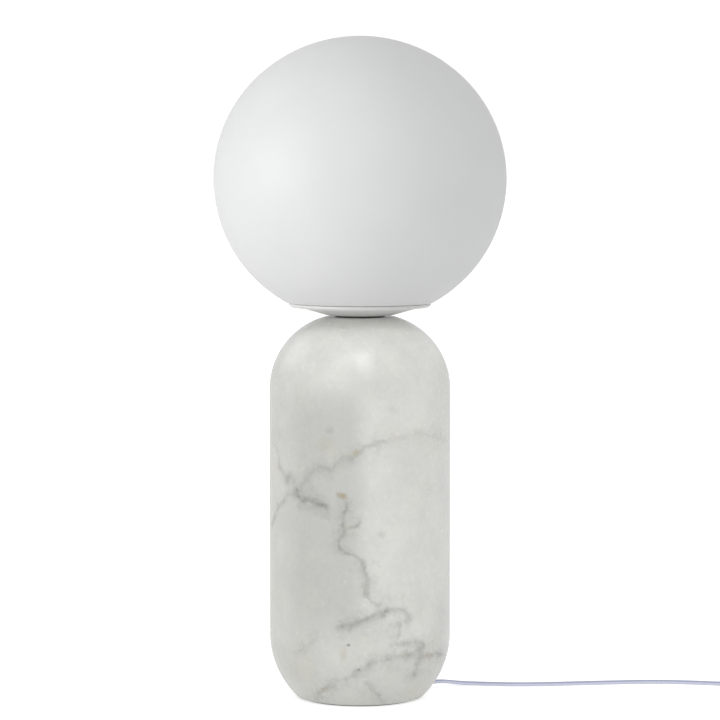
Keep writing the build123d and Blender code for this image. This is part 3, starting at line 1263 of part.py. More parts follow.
with BuildPart() as plug_body:
    with BuildSketch(plug_entry):
        SlotOverall(CORD_WIDTH + 2 * PLUG_RELIEF_WALL, CORD_THICKNESS + 2 * PLUG_RELIEF_WALL)
    with BuildSketch(plug_entry.offset(PLUG_RELIEF)):
        SlotOverall(PLUG_NECK_WIDTH, PLUG_NECK_HEIGHT)
    loft()
    with BuildSketch(Plane.XY.offset(plug_z - PLUG_HEIGHT / 2)):
        with BuildLine():
            Polyline(
                (body_x + PLUG_NECK_OVERLAP, PLUG_Y + PLUG_NECK_WIDTH / 2),
                (body_x - PLUG_WAIST, PLUG_Y + PLUG_WAIST_WIDTH / 2),
                (body_x - PLUG_SHOULDER, PLUG_Y + PLUG_WIDTH / 2),
                (face_x, PLUG_Y + PLUG_WIDTH / 2),
                (face_x, PLUG_Y - PLUG_WIDTH / 2),
                (body_x - PLUG_SHOULDER, PLUG_Y - PLUG_WIDTH / 2),
                (body_x - PLUG_WAIST, PLUG_Y - PLUG_WAIST_WIDTH / 2),
                (body_x + PLUG_NECK_OVERLAP, PLUG_Y - PLUG_NECK_WIDTH / 2),
                close=True,
            )
        make_face()
    extrude(amount=PLUG_HEIGHT)
    with BuildSketch(pin_plane.offset(-PIN_EMBEDDED)):
        with GridLocations(PIN_SPACING, 0, 2, 1):
            Circle(PIN_CORE_RADIUS + PIN_FIT)
    extrude(amount=PIN_EMBEDDED, mode=Mode.SUBTRACT)
plug_body.part.label = "plug_body"
export_step(plug_body.part, "parts/plug_body.step")

with BuildPart() as plug_pins:
    with BuildSketch(pin_plane.offset(-PIN_EMBEDDED)):
        with GridLocations(PIN_SPACING, 0, 2, 1):
            Circle(PIN_CORE_RADIUS)
    extrude(amount=PIN_EMBEDDED + PIN_SLEEVE)
    with BuildSketch(pin_plane.offset(PIN_SLEEVE)):
        with GridLocations(PIN_SPACING, 0, 2, 1):
            Circle(PIN_RADIUS)
    extrude(amount=PIN_LENGTH - PIN_SLEEVE)
    fillet(edges().filter_by(GeomType.CIRCLE).group_by(Axis.X)[0], PIN_TIP_ROUND)
plug_pins.part.label = "plug_pins"
export_step(plug_pins.part, "parts/plug_pins.step")

with BuildPart() as plug_sleeves:
    with BuildSketch(pin_plane):
        with GridLocations(PIN_SPACING, 0, 2, 1):
            Circle(PIN_SLEEVE_RADIUS)
            Circle(PIN_CORE_RADIUS + PIN_FIT, mode=Mode.SUBTRACT)
    extrude(amount=PIN_SLEEVE)
plug_sleeves.part.label = "plug_sleeves"
export_step(plug_sleeves.part, "parts/plug_sleeves.step")
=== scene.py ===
from math import atan2, cos, pi, radians, sin

import bmesh
import bpy
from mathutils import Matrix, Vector


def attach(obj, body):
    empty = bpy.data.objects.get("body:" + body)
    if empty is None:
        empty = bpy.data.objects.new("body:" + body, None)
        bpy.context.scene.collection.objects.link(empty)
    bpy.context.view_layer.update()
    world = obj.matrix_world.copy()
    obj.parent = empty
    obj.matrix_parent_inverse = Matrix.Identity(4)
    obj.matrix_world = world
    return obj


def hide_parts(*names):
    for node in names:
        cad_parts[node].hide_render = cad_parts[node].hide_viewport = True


# Glass globe table lamp, in metres: an opal glass globe in a shallow dish on a tall marble base.
# +Z is up, the table top is z = 0 and the lamp's axis is the line x = y = 0.

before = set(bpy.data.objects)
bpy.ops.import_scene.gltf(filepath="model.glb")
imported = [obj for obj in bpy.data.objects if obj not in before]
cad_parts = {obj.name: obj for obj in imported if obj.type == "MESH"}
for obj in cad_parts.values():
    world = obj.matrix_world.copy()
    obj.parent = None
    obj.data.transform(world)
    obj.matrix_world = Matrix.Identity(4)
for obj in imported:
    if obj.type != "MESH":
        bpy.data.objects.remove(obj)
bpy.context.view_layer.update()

MM = 0.001

# ---------------------------------------------------------------- camera

CAMERA_DISTANCE = 2.157
CAMERA_HEIGHT = 0.389
AIM_HEIGHT = 0.2325
CAMERA_LENS = 157.75
SENSOR_WIDTH = 36

camera_dip = atan2(CAMERA_HEIGHT - AIM_HEIGHT, CAMERA_DISTANCE)
bpy.ops.object.select_all(action="DESELECT")
bpy.ops.object.camera_add(
    location=(0, -CAMERA_DISTANCE, CAMERA_HEIGHT), rotation=(radians(90) - camera_dip, 0, 0)
)
camera = bpy.context.object
camera.name = "table_camera"
camera.data.lens = CAMERA_LENS
camera.data.sensor_width = SENSOR_WIDTH
camera.data.dof.use_dof = False
bpy.context.scene.camera = camera

# ---------------------------------------------------------------- cord

CORD_WIDTH = 4.8 * MM
CORD_THICKNESS = 2.4 * MM
FLAT_HEIGHT = 1.25 * MM  # of a cord that lies on the table
COIL_CENTRE = (0.345, 0.094)
COIL_RADIUS = 37.2 * MM
COIL_INNER_RADIUS = 16.0 * MM
COIL_LAYER = 2.9 * MM
COIL_TURNS = 4  # in each of two layers
COIL_CLIMB = 0.5  # turns in which the cord climbs from one layer to the other
TURN_POINTS = 16
LOBE_POINTS = 11
LOBE_REACH = radians(128)  # of a lobe's outline to each side of its outermost point
INNER_TOP = 0.2815
INNER_STEPS = (0.0130, 0.0300)  # from the axis, on the way out of the stone
EXIT_HEIGHT = 4.1 * MM
EXIT = (49.61 * MM, 31.0 * MM, EXIT_HEIGHT)
EXIT_ANGLE = radians(32)
SWITCH_EXIT = (343.2 * MM, 37.0 * MM, 6.0 * MM)

inner_route = [
    (0, 0, INNER_TOP),
    (0, 0, 0.200),
    (0, 0, 0.100),
    (0, 0, 0.0171),
    (0, 0, EXIT_HEIGHT),
    *[(run * cos(EXIT_ANGLE), run * sin(EXIT_ANGLE), EXIT_HEIGHT) for run in INNER_STEPS],
    EXIT,
]

lead_route = [
    EXIT,
    (0.0564, 0.03524, 0.0041),
    (0.0631, 0.0387, 0.0029),
    (0.0720, 0.0412, 0.0017),
    (0.0810, 0.0418, FLAT_HEIGHT),
    (0.0920, 0.0399, FLAT_HEIGHT),
    (0.1060, 0.0381, FLAT_HEIGHT),
    (0.1220, 0.0383, FLAT_HEIGHT),
    (0.1400, 0.0404, FLAT_HEIGHT),
    (0.1600, 0.0434, FLAT_HEIGHT),
    (0.1810, 0.0464, FLAT_HEIGHT),
    (0.2020, 0.0485, FLAT_HEIGHT),
    (0.2220, 0.0476, FLAT_HEIGHT),
    (0.2400, 0.0443, FLAT_HEIGHT),
    (0.2540, 0.0404, FLAT_HEIGHT),
    (0.2640, 0.0380, 0.0024),
    (0.2725, 0.0370, 0.0049),
    (0.2805, 0.0370, 0.0060),
    (0.2868, 0.0370, 0.0060),
]

link_route = [
    SWITCH_EXIT,
    (0.3500, 0.0370, 0.0060),
    (0.3580, 0.0380, 0.0046),
    (0.3656, 0.0410, 0.0026),
    (0.3722, 0.0460, 0.0016),
    (0.3772, 0.0528, FLAT_HEIGHT),
    (0.3807, 0.0610, FLAT_HEIGHT),
    (0.3822, 0.0720, FLAT_HEIGHT),
    (0.3822, 0.0830, FLAT_HEIGHT),
]

tail_route = [
    (0.3822, 0.1040, 0.00415),
    (0.3822, 0.1100, 0.0037),
    (0.3826, 0.1170, 0.0023),
    (0.3817, 0.1245, 0.0014),
    (0.3793, 0.1320, 0.0016),
    (0.3752, 0.1399, 0.0034),
    (0.3691, 0.1462, 0.0052),
    (0.3614, 0.1506, 0.0065),
    (0.3520, 0.1530, 0.0070),
    (0.3440, 0.1530, 0.0070),
]


def coil_route():
    """Points of a coil that winds in on the table, climbs one layer and winds out again."""
    points = []
    for step in range(2 * COIL_TURNS * TURN_POINTS + 1):
        turns = step / TURN_POINTS
        if turns <= COIL_TURNS:
            share = turns / COIL_TURNS
            height = FLAT_HEIGHT
        else:
            share = 1 - max(0, turns - COIL_TURNS - COIL_CLIMB) / (COIL_TURNS - COIL_CLIMB)
            rise = min(1, (turns - COIL_TURNS) / COIL_CLIMB)
            height = FLAT_HEIGHT + COIL_LAYER * rise * rise * (3 - 2 * rise)
        radius = COIL_RADIUS + share * (COIL_INNER_RADIUS - COIL_RADIUS)
        angle = 2 * pi * turns
        points.append(
            (COIL_CENTRE[0] + radius * cos(angle), COIL_CENTRE[1] + radius * sin(angle), height)
        )
    return points


def route_line(name, points):
    """Points along the smooth line through a route's control points."""
    curve = bpy.data.curves.new(name, "CURVE")
    curve.dimensions = "3D"
    curve.resolution_u = 6
    spline = curve.splines.new("NURBS")
    spline.points.add(len(points) - 1)
    for knot, place in zip(spline.points, points):
        knot.co = (*place, 1)
    spline.order_u = 3
    spline.use_endpoint_u = True
    holder = bpy.data.objects.new(name, curve)
    bpy.context.scene.collection.objects.link(holder)
    bpy.context.view_layer.update()
    line = bpy.data.meshes.new_from_object(holder)
    places = [vertex.co.copy() for vertex in line.vertices]
    bpy.data.objects.remove(holder)
    bpy.data.meshes.remove(line)
    bpy.data.curves.remove(curve)
    return places


def lobed_section():
    """Outline of the twin flat cord: two round lobes joined by a narrow web, counter-clockwise."""
    lobe = CORD_THICKNESS / 2
    reach = (CORD_WIDTH - CORD_THICKNESS) / 2
    outline = []
    for side, turned in ((1, 0), (-1, pi)):
        for index in range(LOBE_POINTS):
            angle = turned - LOBE_REACH + 2 * LOBE_REACH * index / (LOBE_POINTS - 1)
            outline.append((side * reach + lobe * cos(angle), lobe * sin(angle)))
    return outline


def flat_cord(name, line, side_of):
    """Sweep the lobed section along a line, with its width along side_of(direction)."""
    section = lobed_section()
    shell = bmesh.new()
    around_and_along = shell.loops.layers.uv.new("cord_map")
    rings = []
    distances = []
    travelled = 0.0
    for index, place in enumerate(line):
        before = line[max(index - 1, 0)]
        after = line[min(index + 1, len(line) - 1)]
        direction = (after - before).normalized()
        side = side_of(direction).normalized()
        up = side.cross(direction).normalized() * -1
        if index:
            travelled += (place - before).length
        distances.append(travelled)
        rings.append([shell.verts.new(place + side * x + up * y) for x, y in section])
    count = len(section)
    for index in range(len(rings) - 1):
        for turn in range(count):
            following = (turn + 1) % count
            face = shell.faces.new(
                (
                    rings[index][turn],
                    rings[index][following],
                    rings[index + 1][following],
                    rings[index + 1][turn],
                )
            )
            face.smooth = True
            around = (turn / count, (turn + 1) / count, (turn + 1) / count, turn / count)
            along = (distances[index], distances[index], distances[index + 1], distances[index + 1])
            for loop, across_share, run in zip(face.loops, around, along):
                loop[around_and_along].uv = (run / CORD_WIDTH, across_share)
    shell.faces.new(list(reversed(rings[0])))
    shell.faces.new(rings[-1])
    bmesh.ops.recalc_face_normals(shell, faces=shell.faces)
    mesh = bpy.data.meshes.new(name)
    shell.to_mesh(mesh)
    shell.free()
    made = bpy.data.objects.new(name, mesh)
    bpy.context.scene.collection.objects.link(made)
    return made


def level(direction):
    """Sideways direction that keeps a flat cord level."""
    return Vector((0, 0, 1)).cross(direction)


inner_side = Vector((-sin(EXIT_ANGLE), cos(EXIT_ANGLE), 0))
inner_line = route_line("inner_route", inner_route)
inner_cord = flat_cord("flex_in_base", inner_line, lambda direction: inner_side)
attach(inner_cord, "base")
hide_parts("cord_in_base")

lead_line = route_line("lead_route", lead_route)
lead_cord = flat_cord("flex_to_switch", lead_line, level)
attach(lead_cord, "base")
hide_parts("cord_lead")

rest_line = route_line("rest_route", link_route + coil_route() + tail_route)
rest_cord = flat_cord("flex_to_plug", rest_line, level)
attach(rest_cord, "base")
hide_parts("cord_link", "cord_coil", "cord_tail")

# ---------------------------------------------------------------- materials

NOISE_SPAN = (0.3, 0.7)  # nearly all of a noise lies between these


def new_material(name, colour, **sockets):
    """A material whose shader carries these constants; node names read with underscores as spaces."""
    made = bpy.data.materials.new(name)
    made.use_nodes = True
    shader = made.node_tree.nodes["Principled BSDF"]
    shader.inputs["Base Color"].default_value = (*colour, 1)
    for socket, value in sockets.items():
        shader.inputs[socket.replace("_", " ")].default_value = value
    return made


def add(made, kind, values, **settings):
    """Add a node with its settings, and give each input either a constant or another node's output."""
    added = made.node_tree.nodes.new(kind)
    for setting, value in settings.items():
        setattr(added, setting, value)
    for socket, value in values.items():
        if isinstance(value, bpy.types.NodeSocket):
            made.node_tree.links.new(value, added.inputs[socket])
        else:
            added.inputs[socket].default_value = value
    return added


def to_shader(made, socket, output):
    """Feed a shader's socket from a node's output."""
    made.node_tree.links.new(output, made.node_tree.nodes["Principled BSDF"].inputs[socket])


def vector_maths(made, operation, values):
    """One sum of vectors."""
    return add(made, "ShaderNodeVectorMath", values, operation=operation).outputs[0]


def place_in_mm(made):
    """Object coordinates counted in millimetres."""
    place = add(made, "ShaderNodeTexCoord", {})
    return vector_maths(made, "SCALE", {0: place.outputs["Object"], "Scale": 1 / MM})


def noise(made, place, scale, detail, roughness, output="Fac"):
    """Noise from 0 to 1 whose features are about 1/scale millimetres across."""
    return add(
        made,
        "ShaderNodeTexNoise",
        {"Vector": place, "Scale": scale, "Detail": detail, "Roughness": roughness},
    ).outputs[output]


def noise_shift(made, place, scale, detail, roughness, reach):
    """A shift of up to half the reach each way, with a noise of its own in every direction."""
    drawn = noise(made, place, scale, detail, roughness, output="Color")
    centred = vector_maths(made, "SUBTRACT", {0: drawn, 1: (0.5, 0.5, 0.5)})
    return vector_maths(made, "SCALE", {0: centred, "Scale": reach})


def maths(made, operation, first, second=0.0, clamp=False):
    """One sum of two values."""
    added = add(
        made, "ShaderNodeMath", {0: first, 1: second}, operation=operation, use_clamp=clamp
    )
    return added.outputs[0]


def strongest(made, values):
    """The greatest of several values."""
    greatest = values[0]
    for value in values[1:]:
        greatest = maths(made, "MAXIMUM", greatest, value)
    return greatest


def spread(made, value, low, high, to_low=0.0, to_high=1.0, smooth=False):
    """Carry a value from one range to another, stopping at its ends."""
    return add(
        made,
        "ShaderNodeMapRange",
        {"Value": value, "From Min": low, "From Max": high, "To Min": to_low, "To Max": to_high},
        interpolation_type="SMOOTHSTEP" if smooth else "LINEAR",
    ).outputs["Result"]


def blend_colours(made, share, first, second, blend_type="MIX"):
    """Mix two colours, each a constant or another node's output."""
    mixed = made.node_tree.nodes.new("ShaderNodeMix")
    mixed.data_type = "RGBA"
    mixed.blend_type = blend_type
    for socket, value in ((0, share), (6, first), (7, second)):
        if isinstance(value, bpy.types.NodeSocket):
            made.node_tree.links.new(value, mixed.inputs[socket])
        elif socket == 0:
            mixed.inputs[socket].default_value = value
        else:
            mixed.inputs[socket].default_value = (*value, 1)
    return mixed.outputs[2]


def add_bump(made, height, depth_mm, strength=1.0):
    """Raise and sink the surface by a height from 0 to 1 times a depth."""
    bumped = add(
        made, "ShaderNodeBump", {"Height": height, "Distance": depth_mm * MM, "Strength": strength}
    )
    to_shader(made, "Normal", bumped.outputs["Normal"])


def paint(made, *pieces):
    """Give this one material to CAD pieces, each called by its name, or to new pieces."""
    for piece in pieces:
        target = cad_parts[piece] if isinstance(piece, str) else piece
        target.data.materials.clear()
        target.data.materials.append(made)


# Marble. Places on it are in millimetres, x to the right and z up, as seen from the front. Each vein
# is a sheet through the block from front to back, torn by noise, and bent more towards the back.

STONE_PALE = (0.700, 0.703, 0.667)
STONE_CLOUD = (0.625, 0.630, 0.600)
STONE_WARM = (0.680, 0.658, 0.586)
# grey of the painted shade band on the front
PAINTED_SHADE_GREY = (0.545, 0.552, 0.524)
VEIN_GREY = (0.235, 0.234, 0.222)
OCHRE = (0.430, 0.370, 0.235)
BACK_STARTS = (-35, 45)  # along y, from where the veins start to bend to where they bend fully
RAGGED = (0.085, 5.0, 0.62)  # a noise's scale, detail and roughness
BENT = (0.014, 2.0, 0.5)
CRUMBLED = (0.42, 3.0, 0.6)
RAGGED_REACH = 6.5
BENT_REACH = 48.0
CRUMBLED_REACH = 2.4
CORE_REACH = 2.1  # from a vein's line to the end of its dark core, in half widths
CORE_SHARE = 0.46
HAZE_REACH = 7  # from a vein's line to the end of the haze round it, in half widths
HAZE_SHARE = 0.36
VEIN_GAIN = 1.5
VEIN_ROUGHNESS = 0.12  # more than the stone's

marble = new_material(
    "marble",
    STONE_PALE,
    Roughness=0.27,
    IOR=1.5,
    Subsurface_Weight=0.12,
    Subsurface_Scale=0.004,
    Subsurface_Radius=(1.0, 0.95, 0.85),
    Specular_IOR_Level=0.45,
)
stone_place = place_in_mm(marble)
stone_parts = add(marble, "ShaderNodeSeparateXYZ", {0: stone_place})
stone_x, depth, stone_z = [stone_parts.outputs[axis] for axis in "XYZ"]
to_back = spread(marble, depth, *BACK_STARTS, smooth=True)
back_reach = maths(marble, "MULTIPLY", to_back, BENT_REACH)
torn = stone_place
for noise_kind, reach in ((RAGGED, RAGGED_REACH), (BENT, back_reach), (CRUMBLED, CRUMBLED_REACH)):
    shift = noise_shift(marble, stone_place, *noise_kind, reach)
    torn = vector_maths(marble, "ADD", {0: torn, 1: shift})
torn_parts = add(marble, "ShaderNodeSeparateXYZ", {0: torn})
vein_x, vein_z = torn_parts.outputs["X"], torn_parts.outputs["Z"]

# The swell makes a vein narrower and wider along its length, and the smoke thins and thickens hazes.
swell = noise(marble, stone_place, 0.13, 3.0, 0.6)
swell = spread(marble, swell, 0.32, 0.68, 1.9, 0.65)
smoke = noise(marble, stone_place, 0.10, 4.0, 0.65)
smoke = spread(marble, smoke, 0.36, 0.62, 0.35, 1.5)


def curve_through(value, points):
    """A smooth curve through points given from 0 to 1 both ways."""
    added = add(marble, "ShaderNodeFloatCurve", {"Value": value})
    curve = added.mapping.curves[0]
    while len(curve.points) > 2:
        curve.points.remove(curve.points[1])
    curve.points[0].location = points[0]
    curve.points[-1].location = points[-1]
    for point in points[1:-1]:
        curve.points.new(*point)
    for point in curve.points:
        point.handle_type = "AUTO"
    added.mapping.update()
    return added.outputs["Value"]


def vein(along, across, points, half_width, strength, fade):
    """How strongly a vein shows: it runs through points of (along, across), its ends fading out."""
    points = sorted(points)
    start, end = points[0][0], points[-1][0]
    low = min(point[1] for point in points) - 1
    high = max(point[1] for point in points) + 1
    share = [((a - start) / (end - start), (b - low) / (high - low)) for a, b in points]
    travelled = spread(marble, along, start, end)
    path = spread(marble, curve_through(travelled, share), 0, 1, low, high)
    away = maths(marble, "ABSOLUTE", maths(marble, "SUBTRACT", across, path))
    away = maths(marble, "MULTIPLY", away, swell)
    core = spread(marble, away, 0, CORE_REACH * half_width, CORE_SHARE, 0, smooth=True)
    haze = spread(marble, away, 0, HAZE_REACH * half_width, HAZE_SHARE, 0, smooth=True)
    haze = maths(marble, "MULTIPLY", haze, smoke)
    both = maths(marble, "ADD", core, haze, clamp=True)
    first_end = spread(marble, along, start - fade, start + fade, smooth=True)
    last_end = spread(marble, along, end - fade, end + fade, 1, 0, smooth=True)
    ends = maths(marble, "MULTIPLY", first_end, last_end)
    shown = maths(marble, "MULTIPLY", both, ends)
    return maths(marble, "MULTIPLY", shown, VEIN_GAIN * strength)


def stain(spot, radius, strength, tall, lean):
    """How strongly a smoky stain shows: tall times as high as wide, and leaning to the right."""
    upward = maths(marble, "SUBTRACT", vein_z, spot[1])
    sideways = maths(marble, "SUBTRACT", vein_x, spot[0])
    sideways = maths(marble, "SUBTRACT", sideways, maths(marble, "MULTIPLY", upward, lean))
    from_x = maths(marble, "POWER", sideways, 2.0)
    from_z = maths(marble, "POWER", maths(marble, "DIVIDE", upward, tall), 2.0)
    away = maths(marble, "SQRT", maths(marble, "ADD", from_x, from_z))
    shown = spread(marble, away, 0, radius, strength, 0, smooth=True)
    return maths(marble, "MULTIPLY", shown, smoke)


# Veins that cross the stone, through points of (x, z)
UPPER_VEIN = ((-41.8, 150.4), (-39.6, 151.7), (-33.3, 158.2), (-31.1, 160.5), (-26.6, 163.5),
              (-22.6, 164.3), (-19.3, 163.3), (-16.5, 167.1), (-13.1, 169.9), (-5.3, 172.1),
              (-0.9, 174.6), (2.4, 177.0), (6.9, 179.0), (12.5, 180.8), (19.1, 182.6))
UPPER_VEIN_RIGHT = ((17.0, 182.2), (27.0, 184.6), (34.9, 185.8), (41.7, 185.9), (52.0, 183.3),
                    (56.2, 180.9), (61.0, 174.0))
LEFT_VEIN = ((-45.9, 145.2), (-43.6, 146.8), (-41.8, 144.7), (-39.0, 142.7), (-35.6, 141.9),
             (-31.1, 141.1), (-26.6, 139.7), (-20.4, 137.2))
LEFT_VEIN_START = ((-61.0, 118.0), (-58.2, 125.9), (-55.8, 131.7), (-54.0, 137.3), (-49.9, 142.0),
                   (-44.5, 146.0))
EDGE_VEIN = ((-57.5, 176.0), (-55.1, 167.1), (-53.6, 161.2), (-51.6, 157.6), (-48.1, 155.3),
             (-44.7, 153.4), (-41.8, 147.0))
CENTRE_BRANCH = ((-10.4, 123.9), (-5.3, 124.7), (-2.0, 126.4), (0.4, 128.5))
LOWER_VEIN = ((-16.0, 55.9), (-9.8, 58.3), (-5.4, 59.5), (-0.9, 61.3), (8.0, 64.0), (14.7, 67.2),
              (19.2, 68.7), (23.7, 68.7), (28.2, 68.1), (31.0, 65.1), (33.3, 60.7))
LOWER_DASH = ((20.9, 44.7), (27.1, 45.0), (33.9, 45.5), (39.6, 44.3), (46.0, 42.1))
FOOT_VEIN = ((-30.3, 8.2), (-24.6, 12.3), (-20.0, 16.5), (-12.1, 21.3), (-7.6, 23.3), (-3.1, 25.8),
             (0.2, 28.2), (5.8, 31.7), (11.4, 33.9), (17.0, 34.8), (22.6, 36.8), (29.4, 37.4),
             (40.8, 36.0), (46.5, 35.3), (52.4, 34.2), (58.0, 31.1))
FOOT_CRACK = ((4.1, 19.7), (8.1, 13.4), (11.5, 9.4), (16.0, 4.4))
FAINT_VEIN = ((-43.7, 36.7), (-39.1, 41.5), (-33.4, 45.3), (-28.3, 48.0))

# Veins that run down it, through points of (z, x)
CENTRE_VEIN = ((143.1, -9.8), (138.7, -8.7), (134.2, -10.4), (129.7, -10.9), (124.1, -10.9),
               (120.7, -10.4), (116.1, -13.7), (113.3, -13.9), (110.0, -12.0), (107.3, -8.7),
               (105.3, -5.4), (104.6, -2.0), (103.6, 1.3), (100.6, 3.2), (96.1, 3.3), (90.5, 4.1),
               (84.9, 4.5), (79.2, 5.2), (75.8, 7.5), (72.9, 10.8), (70.1, 12.5))
LOWER_DROP = ((61.2, 27.7), (57.0, 25.4), (51.3, 26.0), (47.5, 25.1))
FOOT_DROP = ((44.3, 39.6), (36.0, 40.8), (32.7, 39.6), (26.9, 38.0), (20.5, 35.5))
FOOT_BRANCH = ((41.9, 24.0), (36.2, 23.2))

# Each vein's points, half width, strength, and the length over which it fades past its ends
crossing_veins = (
    (UPPER_VEIN, 2.1, 0.33, 4.0),
    (UPPER_VEIN_RIGHT, 1.9, 0.15, 4.0),
    (LEFT_VEIN, 2.2, 0.62, 4.0),
    (LEFT_VEIN_START, 1.3, 0.40, 3.0),
    (EDGE_VEIN, 1.9, 0.28, 4.0),
    (CENTRE_BRANCH, 1.5, 0.42, 2.0),
    (LOWER_VEIN, 2.1, 0.50, 4.0),
    (LOWER_DASH, 1.7, 0.40, 3.0),
    (FOOT_VEIN, 2.3, 0.38, 4.0),
    (FOOT_CRACK, 1.5, 0.36, 3.0),
    (FAINT_VEIN, 2.2, 0.20, 4.0),
)
falling_veins = (
    (CENTRE_VEIN, 1.7, 0.52, 4.0),
    (LOWER_DROP, 1.7, 0.46, 3.0),
    (FOOT_DROP, 1.8, 0.46, 3.0),
    (FOOT_BRANCH, 1.5, 0.34, 3.0),
)

# Each stain's middle, radius, strength, height as a share of its width, and lean
grey_stains = (
    ((40.5, 40), 7.5, 0.60, 1.2, 0.0),
    ((40.0, 30), 4.0, 0.36, 2.4, 0.0),
    ((-8.2, 45.4), 1.9, 0.80, 1.0, 0.0),
    ((-0.9, 27.8), 2.4, 1.0, 1.0, 0.0),
    ((-11.8, 145.6), 5.2, 0.50, 0.8, -0.8),
    ((-12.8, 132.4), 4.6, 0.34, 1.8, 0.0),
    ((-47.5, 155.0), 8.0, 0.46, 1.1, 0.0),
    ((-43.0, 146.5), 8.5, 0.56, 0.8, 0.0),
    ((-36.0, 142.0), 6.0, 0.42, 0.5, 0.0),
    ((15.5, 65.2), 5.0, 0.52, 0.8, 0.0),
    ((23.5, 68.0), 6.5, 0.42, 0.7, 0.0),
    ((31.0, 61.5), 6.5, 0.40, 1.3, 0.0),
    ((4.2, 86.5), 4.4, 0.44, 1.6, 0.0),
    ((3.2, 98.0), 4.0, 0.30, 2.0, 0.0),
    ((-20, 190), 5.0, 0.26, 1.0, 0.0),
    ((13.5, 217), 7.0, 0.16, 1.4, 0.0),
    ((22.0, 203), 5.0, 0.14, 1.0, 0.0),
    ((-11.0, 255), 6.0, 0.14, 1.0, 0.0),
    ((45.0, 149), 7.0, 0.14, 1.5, 0.0),
    ((14.2, 119.5), 4.0, 0.22, 1.0, 0.0),
    ((-41.4, 38.9), 3.4, 0.28, 1.0, 0.0),
)
ochre_stains = (
    ((-3.1, 175.1), 5.2, 0.42, 0.9, 0.5),
    ((-12.0, 145.8), 4.6, 0.55, 0.8, -0.8),
    ((-11.4, 40.0), 3.4, 0.30, 2.4, 0.0),
    ((46.0, 35.6), 6.5, 0.38, 0.5, 0.0),
    ((-25.5, 12.0), 6.0, 0.22, 0.6, 0.0),
    ((-21.0, 179.0), 13.0, 0.17, 0.7, 0.0),
    ((4.1, 84.3), 3.4, 0.24, 1.5, 0.0),
    ((-7.5, 124.5), 4.0, 0.14, 0.7, 0.0),
    ((30.0, 38.0), 6.0, 0.14, 0.5, 0.0),
)
veins = [vein(vein_x, vein_z, *row) for row in crossing_veins]
veins += [vein(vein_z, vein_x, *row) for row in falling_veins]
all_veins = strongest(marble, veins + [stain(*row) for row in grey_stains])

# Veins that only the sides and the back show: along the lines where a wide noise passes its middle
RIDGE_WIDTH = 0.010  # in the noise's own values
RIDGE_STRENGTH = 0.50

ridge = noise(marble, torn, 0.0075, 4.0, 0.50)
ridge_away = maths(marble, "ABSOLUTE", maths(marble, "SUBTRACT", ridge, 0.5))
ridge_line = spread(marble, ridge_away, 0, RIDGE_WIDTH, RIDGE_STRENGTH, 0, smooth=True)
ridge_part = noise(marble, stone_place, 0.016, 2.0, 0.5)
ridge_part = spread(marble, ridge_part, 0.47, 0.60, smooth=True)
ridge_shown = maths(marble, "MULTIPLY", maths(marble, "MULTIPLY", ridge_line, ridge_part), to_back)
all_veins = maths(marble, "MAXIMUM", all_veins, ridge_shown)

breaks = noise(marble, stone_place, 0.19, 4.0, 0.65)
breaks = spread(marble, breaks, 0.34, 0.64, 0.52, 1.0)
all_veins = maths(marble, "MULTIPLY", all_veins, breaks)

# Painted shade: a darker band left of the front's middle, standing in for a dark reflection in the
# polished front; each edge runs from one place to another
BAND_LEFT = (-56, -36)
BAND_RIGHT = (-9, 9)
BAND_FOOT = (30, 75)
BAND_TOP = (196, 226)
PAINTED_SHADE_STRENGTH = 0.9

band_start = spread(marble, stone_x, *BAND_LEFT, smooth=True)
band_end = spread(marble, stone_x, *BAND_RIGHT, 1, 0, smooth=True)
band_rise = spread(marble, stone_z, *BAND_FOOT, smooth=True)
band_close = spread(marble, stone_z, *BAND_TOP, 1, 0, smooth=True)
band_across = maths(marble, "MULTIPLY", band_start, band_end)
band_upward = maths(marble, "MULTIPLY", band_rise, band_close)
band = maths(marble, "MULTIPLY", band_across, band_upward)
band = maths(marble, "MULTIPLY", band, maths(marble, "SUBTRACT", 1.0, to_back))
band = maths(marble, "MULTIPLY", band, PAINTED_SHADE_STRENGTH)

clouds = spread(marble, noise(marble, torn, 0.030, 5.0, 0.6), 0.38, 0.68)
warmth = spread(marble, noise(marble, stone_place, 0.035, 3.0, 0.5), 0.55, 0.75, 0, 0.5)
grain = noise(marble, stone_place, 1.1, 3.0, 0.7)
mottle = noise(marble, stone_place, 0.30, 4.0, 0.65)
mottled = spread(marble, mottle, 0.3, 0.75, 0.965, 1.03)
grained = spread(marble, grain, 0.25, 0.75, 0.975, 1.025)
tone = maths(marble, "MULTIPLY", mottled, grained)
tone_colour = add(marble, "ShaderNodeCombineXYZ", {0: tone, 1: tone, 2: tone}).outputs[0]

stone_colour = blend_colours(marble, clouds, STONE_PALE, STONE_CLOUD)
# painted shade: the darker band on the front
stone_colour = blend_colours(marble, band, stone_colour, PAINTED_SHADE_GREY)
stone_colour = blend_colours(marble, warmth, stone_colour, STONE_WARM)
stone_colour = blend_colours(marble, 1.0, stone_colour, tone_colour, "MULTIPLY")
stone_colour = blend_colours(marble, all_veins, stone_colour, VEIN_GREY)
ochre = strongest(marble, [stain(*row) for row in ochre_stains])
stone_colour = blend_colours(marble, ochre, stone_colour, OCHRE)
to_shader(marble, "Base Color", stone_colour)

polish = spread(marble, mottle, *NOISE_SPAN, 0.21, 0.28)
vein_polish = maths(marble, "MULTIPLY", all_veins, VEIN_ROUGHNESS)
to_shader(marble, "Roughness", maths(marble, "ADD", polish, vein_polish))
add_bump(marble, maths(marble, "SUBTRACT", grain, all_veins), 0.005, 0.04)
paint(marble, "marble_base")

